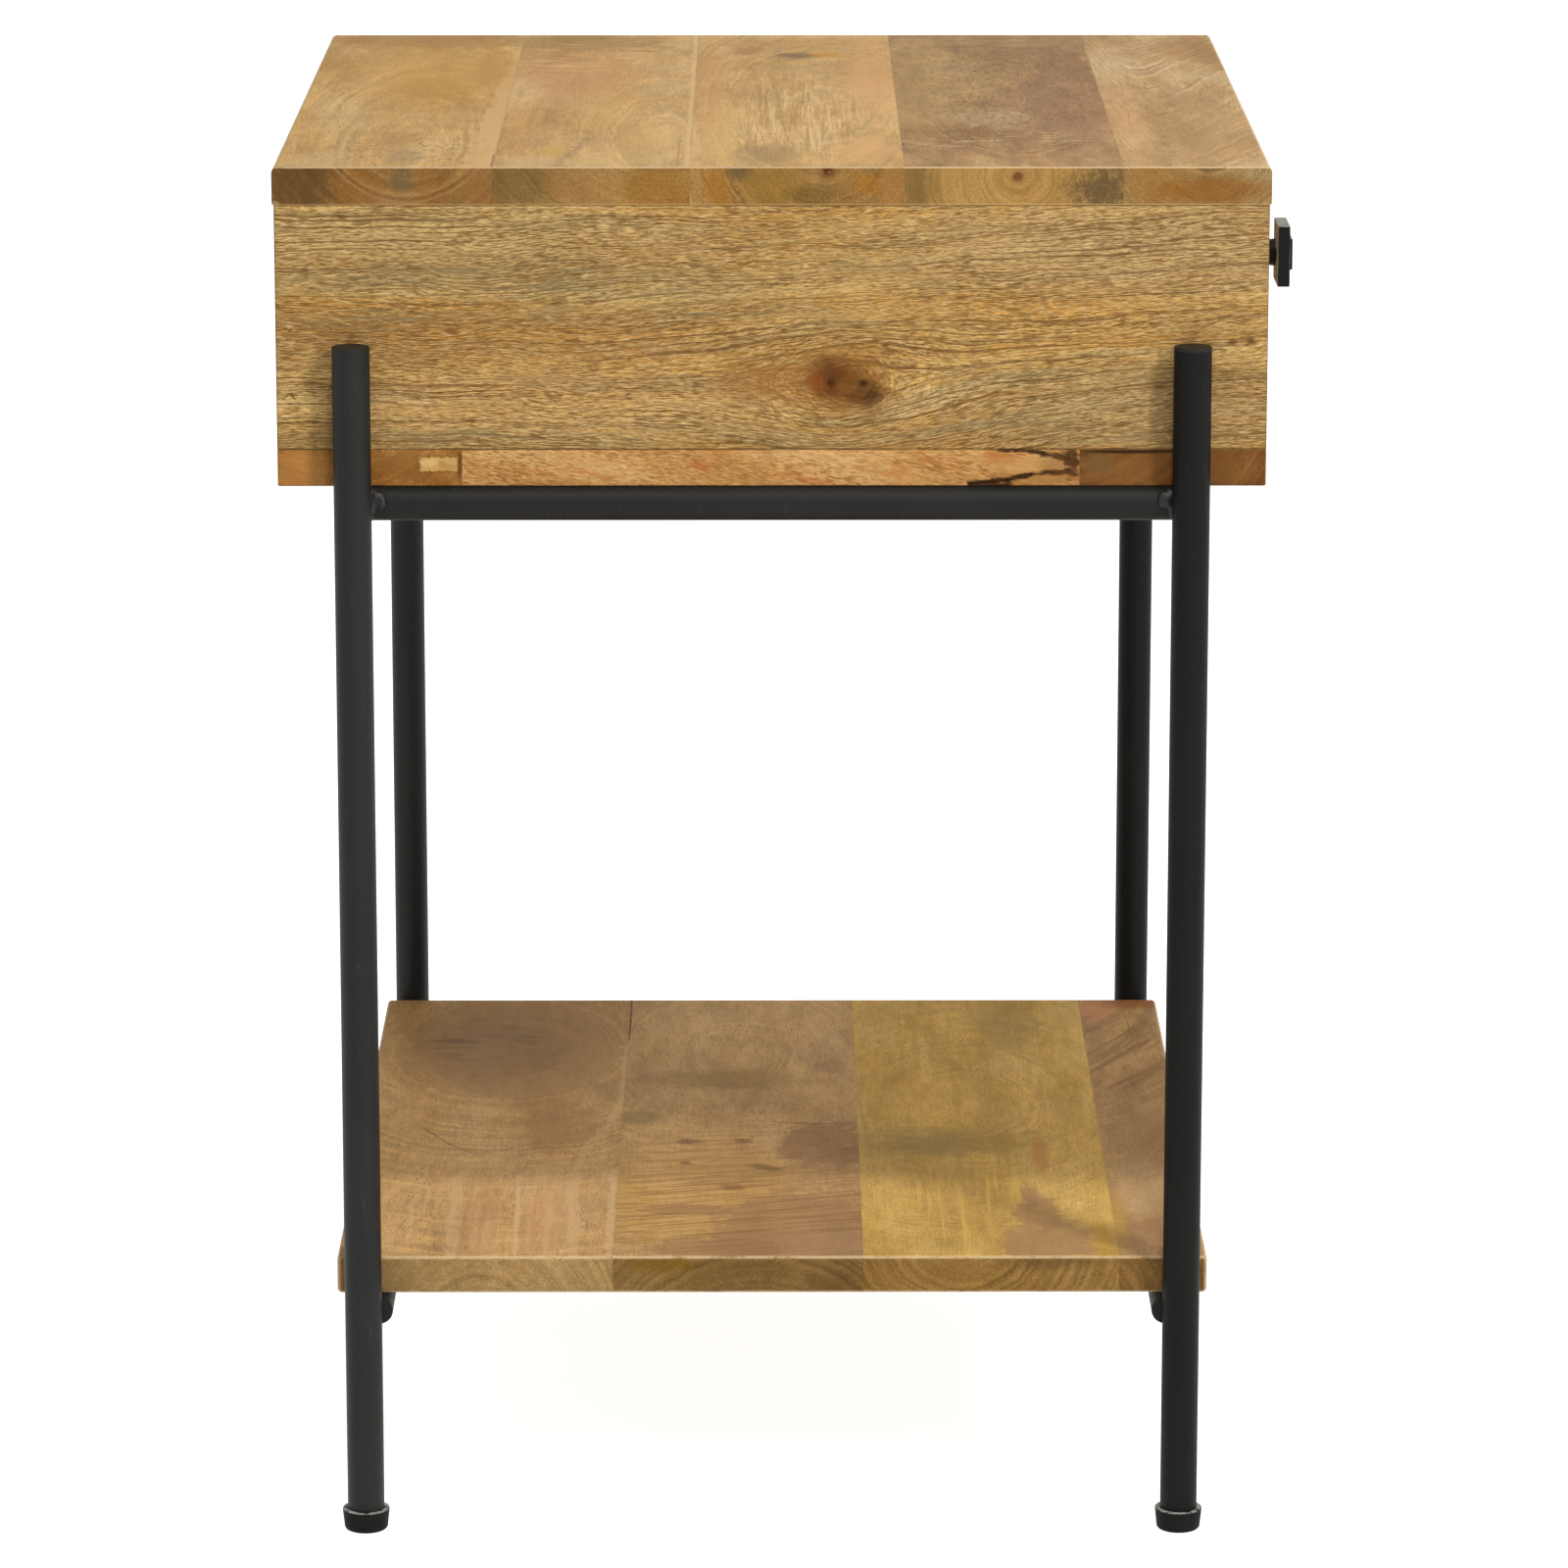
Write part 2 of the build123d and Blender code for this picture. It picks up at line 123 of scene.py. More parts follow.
class Finish(Nodes):
    """A material. Places and heights in it are in millimetres of the part's frame."""

    def __init__(self, name, seed):
        self.name = name
        self.material = bpy.data.materials.new(name)
        self.material.use_nodes = True
        super().__init__(self.material.node_tree)
        self.shader = self.tree.nodes["Principled BSDF"]
        self.seed = seed
        self.drawn = 0
        metres = self.node("TexCoord", {}, {}, "Object")
        to_mm = [mm_per_metre] * 3
        self.place = self.node("Mapping", {}, {"Vector": metres, "Scale": to_mm})
        normal = self.node("TexCoord", {}, {}, "Normal")
        self.facing = self.split(normal)
        self.height = 0.0

    def noise(self, lengths, detail, roughness=0.5, output="Fac", place=None):
        """Mottling, 0 to 1 and mostly near a half, in lumps of about these lengths.
        No two calls are alike."""
        self.drawn += 1
        call_step = 1.9
        seed_steps = (7.31, 3.17, 5.73)
        shift = [step * self.seed + call_step * self.drawn for step in seed_steps]
        scale = [1 / length for length in lengths]
        inputs = {"Vector": place or self.place, "Location": shift, "Scale": scale}
        at = self.node("Mapping", {}, inputs)
        inputs = {"Vector": at, "Scale": 1.0, "Detail": detail, "Roughness": roughness}
        return self.node("TexNoise", {}, inputs, output)

    def spread(self, value, start, end):
        """0 where the value is at start, 1 where it is at end, and smooth in between."""
        smooth = {"interpolation_type": "SMOOTHSTEP"}
        return self.node("MapRange", smooth, {0: value, 1: start, 2: end})

    def mix(self, mask, under, over):
        """One colour over another: each is a Field, or the red, green and blue that shade takes."""
        under, over = [value if isinstance(value, Field) else shade(*value) for value in (under, over)]
        return self.node("Mix", {"data_type": "RGBA"}, {0: mask, 6: under, 7: over}, 2)

    def tint(self, mask, colour, amount):
        """Lays a colour over what is there, by this much where the mask is 1."""
        self.colour = self.mix(mask * amount, self.colour, colour)

    def brighten(self, field):
        """Makes what is there paler where the field is over 1, and darker where it is under 1."""
        scaled = {0: self.colour, "Scale": field}
        self.colour = self.node("VectorMath", {"operation": "SCALE"}, scaled)

    def close(self, roughness, **sockets):
        """Links what varies to the shader, and sets what is the same all over on its own sockets."""
        relief = {"Strength": 1.0, "Distance": 1 / mm_per_metre, "Height": self.height}
        bump = self.node("Bump", {}, relief)
        links = {"Base Color": self.colour, "Roughness": roughness, "Normal": bump}
        for name, field in links.items():
            self.tree.links.new(field.socket, self.shader.inputs[name])
        for name, value in sockets.items():
            self.shader.inputs[name.replace("_", " ")].default_value = value

    def dress(self, *nodes):
        """Puts the material on these nodes, or on the one that has its name."""
        for name in nodes or [self.name]:
            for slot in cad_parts[name].material_slots:
                slot.material = self.material


def powder_coat(name, seed, coat_colour, cloud_colour, rubbed_colour, gloss, dull=0.46):
    """Baked powder: a fine orange peel, cloudy in its gloss, and rubbed paler in small scuffs."""
    coat = Finish(name, seed)
    cloud = coat.noise((70, 70, 110), 3)
    peel = coat.noise((1.5, 1.5, 1.5), 2)
    grit = coat.noise((0.5, 0.5, 0.5), 1)
    scuffs = coat.spread(coat.noise((4, 4, 14), 4, 0.65), 0.60, 0.78)
    coat.colour = coat.mix(coat.spread(cloud, 0.3, 0.7), coat_colour, cloud_colour)
    coat.tint(scuffs, rubbed_colour, 0.35)
    coat.height = peel * 0.06 + grit * 0.02
    coat.close(dull + cloud * 0.16 + scuffs * 0.1, Specular_IOR_Level=gloss)
    return coat


corners = [f"{end}_{side}" for end in ("front", "rear") for side in ("left", "right")]
leg_names = [f"leg_{corner}" for corner in corners]
rear_coat = powder_coat("powder_coat_rear", 1, (22, 22, 21), (30, 30, 28), (70, 69, 66), gloss=0.22)
rear_coat.dress("leg_rear_left", "leg_rear_right", "leg_caps")
# The front legs take a darker, duller copy of the rear legs' coat: painted shade on that side of the stand.
front_coat_shaded = powder_coat("powder_coat_front", 9, (14, 14, 13), (20, 20, 18), (52, 51, 48), gloss=0.12)
front_coat_shaded.dress("leg_front_left", "leg_front_right")

# Rails and bars: round steel rods between the legs, two under the sides of the case and two under the shelf,
# with flat tabs on the rails. All are welded to the legs before the stand is powder coated.

bar_names = ["shelf_bar_front", "shelf_bar_rear"]
rail_names = ["case_rail_left", "case_rail_right"]
rod_coat = powder_coat("powder_coat_rods", 2, (20, 20, 19), (28, 28, 26), (76, 75, 72), gloss=0.18)
rod_coat.dress(*rail_names, *bar_names, "case_tabs")

# Weld beads: lumpy fillets of weld metal where rods meet legs, under the same powder coat.
# Each is laid along its seam as a row of drops that run into one another, and shines more than the rods.

weld_coat = powder_coat("powder_coat_welds", 4, (21, 21, 20), (30, 30, 28), (84, 83, 80),
                        gloss=0.3, dull=0.36)


def weld_bead(name, seams, drop_radius, seed):
    """One mesh of drops along the seams, melted together."""
    sizes = random.Random(seed)
    least, most = 0.85, 1.15
    voxel_share = 0.28
    bpy.ops.object.select_all(action="DESELECT")
    drops = []
    for seam in seams:
        for point in seam:
            radius = drop_radius * sizes.uniform(least, most)
            bpy.ops.mesh.primitive_ico_sphere_add(subdivisions=2, radius=radius, location=point)
            drops.append(bpy.context.object)
    for drop in drops:
        drop.select_set(True)
    bead = drops[0]
    bpy.context.view_layer.objects.active = bead
    bpy.ops.object.join()
    bpy.ops.object.transform_apply(location=True, rotation=True, scale=True)
    melt = bead.modifiers.new("melt", "REMESH")
    melt.mode = "VOXEL"
    melt.voxel_size = drop_radius * voxel_share
    settle = bead.modifiers.new("settle", "SMOOTH")
    settle.factor = 0.5
    settle.iterations = 3
    bpy.ops.object.modifier_apply(modifier="melt")
    bpy.ops.object.modifier_apply(modifier="settle")
    bpy.ops.object.shade_smooth()
    bead.name = name
    bead.data.materials.clear()
    bead.data.materials.append(weld_coat.material)
    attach(bead, "table")


def middle_of(low, high):
    return (low + high) / 2


def weld_seams(rod, along, angles, lips=()):
    """Where a round rod runs into its two legs, as rows of points round the rod's outer side.
    Above the middle a row may have lips: points farther along the rod, up to an angle."""
    across = 1 - along
    low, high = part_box(rod)
    rod_middle = middle_of(low, high)
    rod_radius = (high.z - low.z) / 2
    rod_side = rod.split("_")[-1]
    seams = []
    for leg in [name for name in leg_names if rod_side in name.split("_")]:
        low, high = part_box(leg)
        leg_middle = middle_of(low, high)
        leg_radius = (high.x - low.x) / 2
        outward = math.copysign(1, leg_middle[across])
        inward = -math.copysign(1, leg_middle[along])
        seam = []
        for degrees in angles:
            turn = math.radians(degrees)
            point = [0.0, 0.0, rod_middle.z + rod_radius * math.sin(turn)]
            point[across] = rod_middle[across] + outward * rod_radius * math.cos(turn)
            reach = math.sqrt(max(leg_radius**2 - (point[across] - leg_middle[across]) ** 2, 0))
            point[along] = leg_middle[along] + inward * reach
            seam.append(tuple(point))
            for run_out, steepest in lips:
                if 0 < degrees < steepest:
                    lip = list(point)
                    lip[along] += inward * run_out
                    seam.append(tuple(lip))
        seams.append(seam)
    return seams


x_axis, y_axis = 0, 1
rail_angles = range(-64, 57, 12)
rail_lips = ((0.0026, 50), (0.0050, 40))
rail_seams = [seam for rail in rail_names for seam in weld_seams(rail, y_axis, rail_angles, rail_lips)]
bar_angles = range(-84, 61, 12)
bar_seams = [seam for bar in bar_names for seam in weld_seams(bar, x_axis, bar_angles)]
weld_bead("rail_welds", rail_seams, drop_radius=0.0024, seed=3)
weld_bead("bar_welds", bar_seams, drop_radius=0.0019, seed=5)

# Feet: moulded black rubber cups pushed over the ends of the legs.
# The flat rim round each leg is painted pale in ragged patches where it faces up: a painted highlight.

rubber = Finish("moulded_rubber", 6)
foot_names = [f"foot_{corner}" for corner in corners]
foot_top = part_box(foot_names[0])[1].z * mm_per_metre
rubber_grain = rubber.noise((0.7, 0.7, 0.7), 2)
rubber_cloud = rubber.noise((7, 7, 3), 4, 0.65)
rim_highlight_rag = rubber.noise((3, 3, 1.5), 3, 0.6)
foot_height = rubber.split(rubber.place)[2]
# Painted highlight: the upward-facing rim near the top of each foot, made pale in ragged patches.
rim_highlight = rubber.spread(rubber.facing[2], 0.25, 0.8)
rim_highlight = rim_highlight * rubber.spread(foot_height + (rubber_cloud - 0.5) * 3, foot_top - 1.4, foot_top - 0.4)
rubber.colour = rubber.mix(rubber.spread(rubber_cloud, 0.35, 0.65), (15, 15, 14), (25, 25, 23))
rubber.tint(rim_highlight * rubber.spread(rim_highlight_rag, 0.34, 0.52), (186, 184, 180), 0.72)
rubber.height = rubber_grain * 0.05 + rubber_cloud * 0.12
rubber.close(0.6 + rubber_cloud * 0.2, Specular_IOR_Level=0.12)
rubber.dress(*foot_names)

# Screws: small zinc-plated steel screws that hold the case, the shelf, the runners and the drawer's back.
# They are bright, with a faint streaky plating.

zinc = Finish("zinc_plated_screws", 7)
plating = zinc.noise((1.2, 1.2, 4), 3, 0.6)
zinc.colour = zinc.mix(zinc.spread(plating, 0.3, 0.7), (150, 150, 146), (196, 194, 186))
zinc.height = plating * 0.02
zinc.close(0.25 + plating * 0.25, Metallic=1.0)
zinc.dress("case_screws", "shelf_screws", "runner_screws", "drawer_screws", "knob_screw")

# Shelf: four hardwood planks, glued edge to edge, from side to side, with rounded edges.
# They are sanded and waxed, and rest on the two bars, held by screws from below.


class Wood(Finish):
    """A waxed board. Its figure is solid: rings, fibres and pores run along and through it, so that its faces
    and ends cut the same grain. lie names the axes that run along the board, across it and through it."""

    def __init__(self, name, seed, lie):
        super().__init__(name, seed)
        axes = self.split(self.place)
        self.along, self.across, self.deep = [axes["xyz".index(letter)] for letter in lie]
        self.lay_grain(self.across)
        flat = [abs(part) for part in self.facing]
        self.end = self.spread(flat["xyz".index(lie[0])], 0.55, 0.95)
        self.eased = self.spread(flat[0].over(flat[1]).over(flat[2]), 0.97, 0.85)
        self.rag = self.noise((18, 9, 9), 5, 0.68) - 0.5

    def lay_grain(self, across):
        """Sets the lines that the figure follows, which need not be straight."""
        self.grain_across = across
        self.place = self.node("CombineXYZ", {}, {0: self.along, 1: across, 2: self.deep})

    def sway(self, lengths, amount):
        """The grain wanders from side to side by this much."""
        self.lay_grain(self.grain_across + (self.noise(lengths, 2) - 0.5) * (2 * amount))

    def flow_round(self, middle, size):
        """The grain parts before a knot and closes behind it."""
        along = (self.along - middle[0]) / size[0]
        across = (self.grain_across - middle[1]) / size[1]
        reach = along * along + across * across
        self.lay_grain(middle[1] + across * reach / (reach + 1) * size[1])

    def clouds(self, lengths, colours):
        """The ground colours of the board, which run into one another in clouds of about these lengths."""
        cloud = self.noise(lengths, 4, 0.55)
        last = len(colours) - 1
        stops = [(0.34 + 0.32 * step / last, shade(*colour)) for step, colour in enumerate(colours)]
        self.colour = self.node("ValToRGB", {"stops": stops}, {"Fac": cloud})

    def layers(self, radius, spacing):
        """How pale each layer of the tree's growth is, by its distance from the heart."""
        inputs = {"W": radius / spacing + self.seed * 11.3, "Scale": 1.0, "Detail": 2.0, "Roughness": 0.6}
        return self.node("TexNoise", {"noise_dimensions": "1D"}, inputs)

    def from_heart(self, heart, stretch, wander):
        """How far each spot lay from the heart of the tree, in shells drawn out along the board."""
        drift = self.noise((120, 36, 36), 5, 0.6, "Color")
        away = self.node("VectorMath", {"operation": "SUBTRACT"}, {0: drift, 1: (0.5, 0.5, 0.5)})
        away = self.node("VectorMath", {"operation": "SCALE"}, {0: away, "Scale": 2 * wander})
        start = (-heart[0] / stretch, -heart[1], -heart[2])
        shell = {"Vector": self.place, "Location": start, "Scale": (1 / stretch, 1, 1)}
        shell = self.node("Mapping", {}, shell)
        shell = self.node("VectorMath", {"operation": "ADD"}, {0: shell, 1: away})
        return self.node("VectorMath", {"operation": "LENGTH"}, {0: shell}, "Value")

    def ring_lines(self, radius, spacing, amount):
        """Growth rings on the faces, clear in some places and faint in others."""
        patchy = self.spread(self.noise((80, 22, 22), 3), 0.30, 0.70) * (1 - self.end)
        self.brighten(1 + (self.layers(radius, spacing) - 0.5) * patchy * amount)

    def end_rings(self, middle, spacing, amount):
        """Growth rings on the ends, round a heart placed across the board and through it."""
        radius = self.oval(middle, (1, 1), 0.0, "across deep") + self.rag * 5
        self.brighten(1 + (self.layers(radius, spacing) - 0.5) * self.end * amount)

    def mottle(self, lengths, amount, detail=3):
        """Paler and darker lumps of about these lengths."""
        self.brighten(1 + (self.noise(lengths, detail) - 0.5) * amount)

    def stain(self, lengths, start, end, colour, amount):
        """Clouds of another colour."""
        self.tint(self.spread(self.noise(lengths, 4, 0.6), start, end), colour, amount)

    def fibres(self, lengths, amount):
        """Fine threads along the grain, paler and darker, that stand a little proud."""
        threads = self.noise(lengths, 4, 0.65)
        self.brighten(1 + (threads - 0.5) * amount)
        self.height = self.height + threads * 0.08

    def pores(self, lengths, threshold, colour, amount):
        """Open pores: short dark dashes on a face, and dots on an end."""
        dashes = self.spread(self.noise(lengths, 1.5), threshold, threshold + 0.07)
        dashes = dashes * self.spread(self.noise((60, 14, 14), 2), 0.25, 0.6)
        self.tint(dashes, colour, amount)
        self.height = self.height - dashes * 0.10

    def flecks(self, lengths, threshold, colour, amount):
        """Short pale dashes, where the cut fibres catch the light."""
        dashes = self.spread(self.noise(lengths, 1.5), threshold, threshold + 0.07)
        self.tint(dashes, colour, amount)

    def oval(self, middle, size, ragged=0.0, axes="along across", square=False):
        """1 along the edge of an oval or an oblong of this half length and half width, less inside it."""
        first, second = [getattr(self, axis) for axis in axes.split()]
        first = abs(first - middle[0]) / size[0]
        second = abs(second - middle[1]) / size[1]
        reach = first.over(second) if square else (first * first + second * second) ** 0.5
        return reach + self.rag * (4 * ragged) if ragged else reach

    def patch(self, middle, size, colour, amount, ragged=0.5, soft=0.5):
        """A stain of about this half length and half width on the face."""
        reach = self.oval(middle, size, ragged)
        self.tint(self.spread(reach, 1 + soft, 1 - soft) * (1 - self.end), colour, amount)

    def end_patch(self, middle, size, colour, amount, ragged=0.3, soft=0.5, square=False, both=True):
        """A stain on both ends or on the left one alone, placed across the board and through it."""
        reach = self.oval(middle, size, ragged, "across deep", square)
        ends = self.end if both else self.end * self.spread(self.along, 1, -1)
        self.tint(self.spread(reach, 1 + soft, 1 - soft) * ends, colour, amount)

    def streaks(self, middle, size, lengths, colour, amount):
        """Thin streaks of another colour inside an oval."""
        inside = self.spread(self.oval(middle, size, 0.3), 1.3, 0.6) * (1 - self.end)
        lines = self.spread(self.noise(lengths, 3, 0.6), 0.50, 0.64)
        self.tint(inside * lines, colour, amount)

    def scores(self, middle, size, slope, lengths, colour, amount):
        """Fine parallel marks that cross the board at a slope, inside an oval."""
        inside = self.spread(self.oval(middle, size, 0.3), 1.3, 0.6) * (1 - self.end)
        skewed = {0: self.along + self.across * slope, 1: self.across, 2: self.deep}
        skewed = self.node("CombineXYZ", {}, skewed)
        lines = self.spread(self.noise(lengths, 2, 0.6, place=skewed), 0.48, 0.62)
        self.tint(inside * lines, colour, amount)

    def line(self, points, width, colour, amount, depth=0.0, waver=1.2):
        """A crack or a streak along a line of points on the face."""
        shiver = (self.noise((7, 3, 3), 3) - 0.5) * (2 * waver * width)
        for start, stop in zip(points, points[1:]):
            run = (stop[0] - start[0], stop[1] - start[1])
            along = self.along - start[0]
            across = self.across - start[1]
            share = (along * run[0] + across * run[1]) / (run[0] ** 2 + run[1] ** 2)
            share = self.node("Clamp", {}, {"Value": share})
            along = along - share * run[0]
            across = across - share * run[1]
            away = (along * along + across * across) ** 0.5 + shiver
            mark = self.spread(away, width, width * 0.3) * (1 - self.end)
            self.tint(mark, colour, amount)
            self.height = self.height - mark * depth

    def end_grain(self, tone):
        """The ends drink more wax and turn darker and warmer, with a fine speckle of cut fibres."""
        darker = {"data_type": "RGBA", "blend_type": "MULTIPLY"}
        self.colour = self.node("Mix", darker, {0: self.end, 6: self.colour, 7: shade(*tone)}, 2)
        self.brighten(1 + (self.noise((4, 1.0, 1.0), 3, 0.6) - 0.5) * self.end * 0.9)

    def end_line(self, low, high, colour, amount):
        """A thin pale line along the ends, between these heights: a painted highlight of the edge."""
        line = self.spread(abs(self.deep - (low + high) / 2), (high - low) * 0.7, (high - low) * 0.3)
        self.tint(line * self.end * self.spread(self.rag, -0.36, -0.06), colour, amount)

    def glue_line(self, low, high, colour, amount):
        """A thin dark line where this board meets its neighbour, at each side of it."""
        away = abs(self.across - (low + high) / 2)
        line = self.spread(away, (high - low) / 2 - 0.6, (high - low) / 2 - 0.1)
        self.tint(line * self.spread(self.rag, -0.1, 0.1), colour, amount)

    def wax(self, gloss=0.58, edge=(230, 204, 160), edge_tint_strength=0.6):
        """Closes the finish: a thin wax, duller on the ends, with the eased edges tinted in the edge colour.
        """
        # Pale edges by default, part wear and part painted highlight; a dark edge colour darkens the edges
        # instead.
        self.tint(self.eased * self.spread(self.rag, -0.20, 0.02), edge, edge_tint_strength)
        rub = self.noise((60, 40, 40), 3)
        self.close(gloss + (rub - 0.5) * 0.2 + self.end * 0.08, Specular_IOR_Level=0.06)


def plank_sides(node):
    low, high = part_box(node)
    return low.y * mm_per_metre, high.y * mm_per_metre


glue_brown = (92, 64, 36)
pore_brown = (118, 84, 48)
crack_brown = (46, 28, 14)


def smooth_plank(name, seed, heart, stretch, colours, ringed=1.0):
    """A sanded plank that runs from side to side: clouds of colour, fine rings and a soft speckle."""
    plank = Wood(name, seed, "xyz")
    plank.sway((160, 50, 50), 4)
    plank.clouds((150, 40, 60), colours)
    radius = plank.from_heart(heart, stretch, 7)
    plank.ring_lines(radius, 10, 0.7 * ringed)
    plank.ring_lines(radius, 2.6, 0.8 * ringed)
    plank.mottle((80, 26, 26), 0.42)
    plank.mottle((16, 6, 6), 0.45)
    plank.mottle((3.6, 0.9, 0.9), 0.50, 2)
    plank.fibres((22, 1.1, 1.1), 0.50)
    plank.pores((6, 0.7, 0.7), 0.60, pore_brown, 0.38)
    plank.flecks((7, 0.7, 0.7), 0.62, (232, 202, 154), 0.22)
    return plank


def finish_plank(plank, end_tone, glue):
    """Closes a plank of the shelf, with a glue line of this strength at each side."""
    plank.end_grain(end_tone)
    plank.glue_line(*plank_sides(plank.name), glue_brown, glue)
    plank.wax()
    plank.dress()


# The rear plank: a dark oval heart at the far end, and pale streaks at the near one.
plank = smooth_plank(
    "shelf_plank_1", 11, (134, 147, 138), 1.7, ((182, 140, 86), (200, 158, 100), (208, 168, 112)))
plank.patch((134, 147), (100, 60), (172, 132, 82), 0.7, 0.12, 0.3)
plank.patch((128, 156), (66, 42), (138, 104, 65), 0.6, 0.35, 0.5)
plank.streaks((140, 158), (54, 34), (9, 20, 8), (112, 84, 54), 0.35)
plank.patch((150, 176), (5, 10), (88, 66, 46), 0.4, 0.6)
plank.patch((-12, 116), (36, 20), (160, 120, 70), 0.45)
plank.patch((52, 96), (18, 9), (140, 108, 68), 0.35)
pale_seam = [(140, 88), (50, 87), (-10, 94), (-52, 104), (-98, 110), (-240, 106)]
plank.line(pale_seam, 4, (222, 184, 132), 0.4)
plank.line([(-100, 136), (-240, 133)], 1.6, (226, 190, 140), 0.5)
plank.line([(-100, 166), (-240, 163)], 4, (222, 186, 134), 0.4)
plank.line([(-90, 90), (-240, 89.5)], 2.6, (224, 190, 142), 0.5)
plank.patch((-172, 120), (66, 9), (208, 152, 98), 0.4, 0.4)
plank.patch((-180, 152), (60, 9), (206, 156, 102), 0.35, 0.4)
plank.streaks((-150, 182), (74, 8), (6, 1.6, 4), (150, 110, 62), 0.6)
plank.line([(-16, 185), (-44, 172), (-60, 160), (-58, 148), (-46, 135)], 0.7, (100, 68, 36), 0.55)
plank.streaks((-170, 150), (70, 64), (130, 5, 5), (224, 190, 138), 0.28)
plank.end_rings((150, 96), 3.0, 0.7)
plank.end_patch((196, 120), (18, 14), (148, 116, 70), 0.5)
finish_plank(plank, (227, 232, 234), 0.2)

# The second: gold in the middle, under a brown stain with crisp edges, and scored across.
plank = smooth_plank(
    "shelf_plank_2", 12, (119, 31, 138), 2.2, ((173, 134, 85), (192, 153, 100), (205, 166, 112)), 0.6)
plank.rag = plank.noise((9, 12, 10), 5, 0.7) - 0.5
plank.patch((75, 39), (17, 44), (146, 116, 62), 0.5, 0.35)
plank.patch((4, 78), (13, 11), (124, 108, 66), 0.5)
plank.patch((100, -16), (14, 9), (132, 100, 68), 0.35)
pale_zone = plank.spread(plank.oval((-70, 40), (80, 60), 0.4), 1.3, 0.7) * (1 - plank.end)
plank.brighten(1 + pale_zone * 0.20)
plank.patch((-130, 50), (90, 52), (218, 172, 92), 0.45, 0.4, 0.4)
stain_lobes = (((-46, -14), (38, 23)), ((-200, 0), (72, 40)), ((-158, 56), (9, 22)), ((-222, 40), (17, 30)))
for middle, size in stain_lobes:
    plank.patch(middle, size, (156, 116, 78), 0.6, 0.4, 0.12)
plank.streaks((-48, -10), (44, 24), (3, 20, 8), (126, 94, 62), 0.3)
plank.streaks((-170, 80), (70, 14), (2.4, 26, 10), (176, 128, 30), 0.75)
plank.scores((-168, 24), (80, 80), 0.267, (2.2, 60, 20), (138, 96, 54), 0.6)
plank.scores((-84, 50), (60, 40), 0.16, (3, 44, 20), (150, 106, 54), 0.4)
for spot in ((-39, 55), (-39, 27), (-78, 55), (-84, 19), (-90, 12), (-120, 32)):
    plank.patch(spot, (4, 4.5), (124, 86, 48), 0.6, 1.0, 0.6)
plank.line([(238, 87.2), (190, 87.0), (152, 87.3)], 0.7, crack_brown, 0.7, 0.4)
plank.line([(-4, 12), (-8, -8), (-6, -29)], 1.2, (110, 78, 46), 0.5)
plank.end_rings((20, 60), 3.0, 0.9)
plank.end_patch((66, 127), (16, 5), (190, 140, 40), 0.6)
finish_plank(plank, (177, 171, 151), 0.12)

# The third: yellow, with a grey cloud in the middle and a brown stain at the near end.
plank = smooth_plank(
    "shelf_plank_3", 13, (31, -85, 134), 2.0, ((186, 146, 70), (202, 162, 82), (212, 174, 98)), 0.6)
plank.rag = plank.noise((9, 12, 10), 5, 0.7) - 0.5
plank.streaks((60, -90), (190, 66), (90, 6, 8), (176, 142, 62), 0.45)
plank.streaks((-160, -80), (80, 50), (110, 4, 6), (222, 182, 92), 0.6)
plank.patch((-40, -73), (24, 46), (152, 124, 62), 0.55, 0.45)
plank.patch((-46, -70), (16, 20), (122, 100, 54), 0.35, 0.6)
plank.patch((-62, -118), (34, 4), (178, 122, 52), 0.6, 0.4)
for middle, size in (((-212, -117), (34, 22)), ((-168, -114), (32, 11)), ((-136, -111), (18, 4.5))):
    plank.patch(middle, size, (168, 128, 86), 0.75, 0.42, 0.18)
plank.streaks((-205, -117), (40, 20), (10, 5, 6), (188, 148, 92), 0.6)
plank.patch((-208, -143), (26, 5), (190, 146, 50), 0.6, 0.4)
plank.patch((180, -110), (40, 14), (150, 122, 66), 0.4, 0.4)
plank.end_rings((-76, 146), 2.6, 1.1)
plank.end_patch((-118, 128), (20, 5), (136, 104, 62), 0.55)
plank.end_patch((-60, 122), (26, 9), (196, 148, 70), 0.4)
finish_plank(plank, (192, 184, 191), 0.12)

# The front plank: brown and slanting, with a red far corner.
plank = smooth_plank(
    "shelf_plank_4", 14, (320, -110, 150), 2.6, ((160, 121, 78), (184, 145, 94), (204, 164, 114)))
plank.patch((212, -158), (26, 11), (204, 138, 88), 0.65, 0.4)
plank.patch((230, -182), (14, 24), (150, 82, 40), 0.65, 0.3)
plank.scores((130, -166), (80, 26), 1.9, (12, 60, 20), (138, 98, 58), 0.6)
plank.patch((-121, -164), (42, 14), (214, 176, 126), 0.5)
plank.patch((-198, -165), (24, 13), (156, 116, 74), 0.6)
plank.patch((-176, -151), (50, 4), (186, 146, 58), 0.6, 0.3)
plank.patch((-30, -166), (70, 16), (140, 106, 66), 0.45, 0.4)
plank.end_rings((-120, 100), 3.0, 0.9)
finish_plank(plank, (196, 186, 160), 0.12)

# Bottom frame: two hardwood rails from side to side, whose ends show, and two shorter ones between them,
# dowelled together under the side panels, with a thin plywood panel in a groove.


def frame_rail(name, seed):
    """A rail from side to side, whose ends show in the case's sides."""
    rail = Wood(name, seed, "xyz")
    rail.clouds((90, 18, 14), ((178, 124, 62), (196, 142, 78), (210, 160, 98)))
    rail.mottle((60, 8, 8), 0.4)
    rail.mottle((5, 1.6, 1.6), 0.35, 2)
    rail.fibres((34, 1.3, 1.3), 0.4)
    rail.pores((6, 0.8, 0.8), 0.57, pore_brown, 0.5)
    return rail


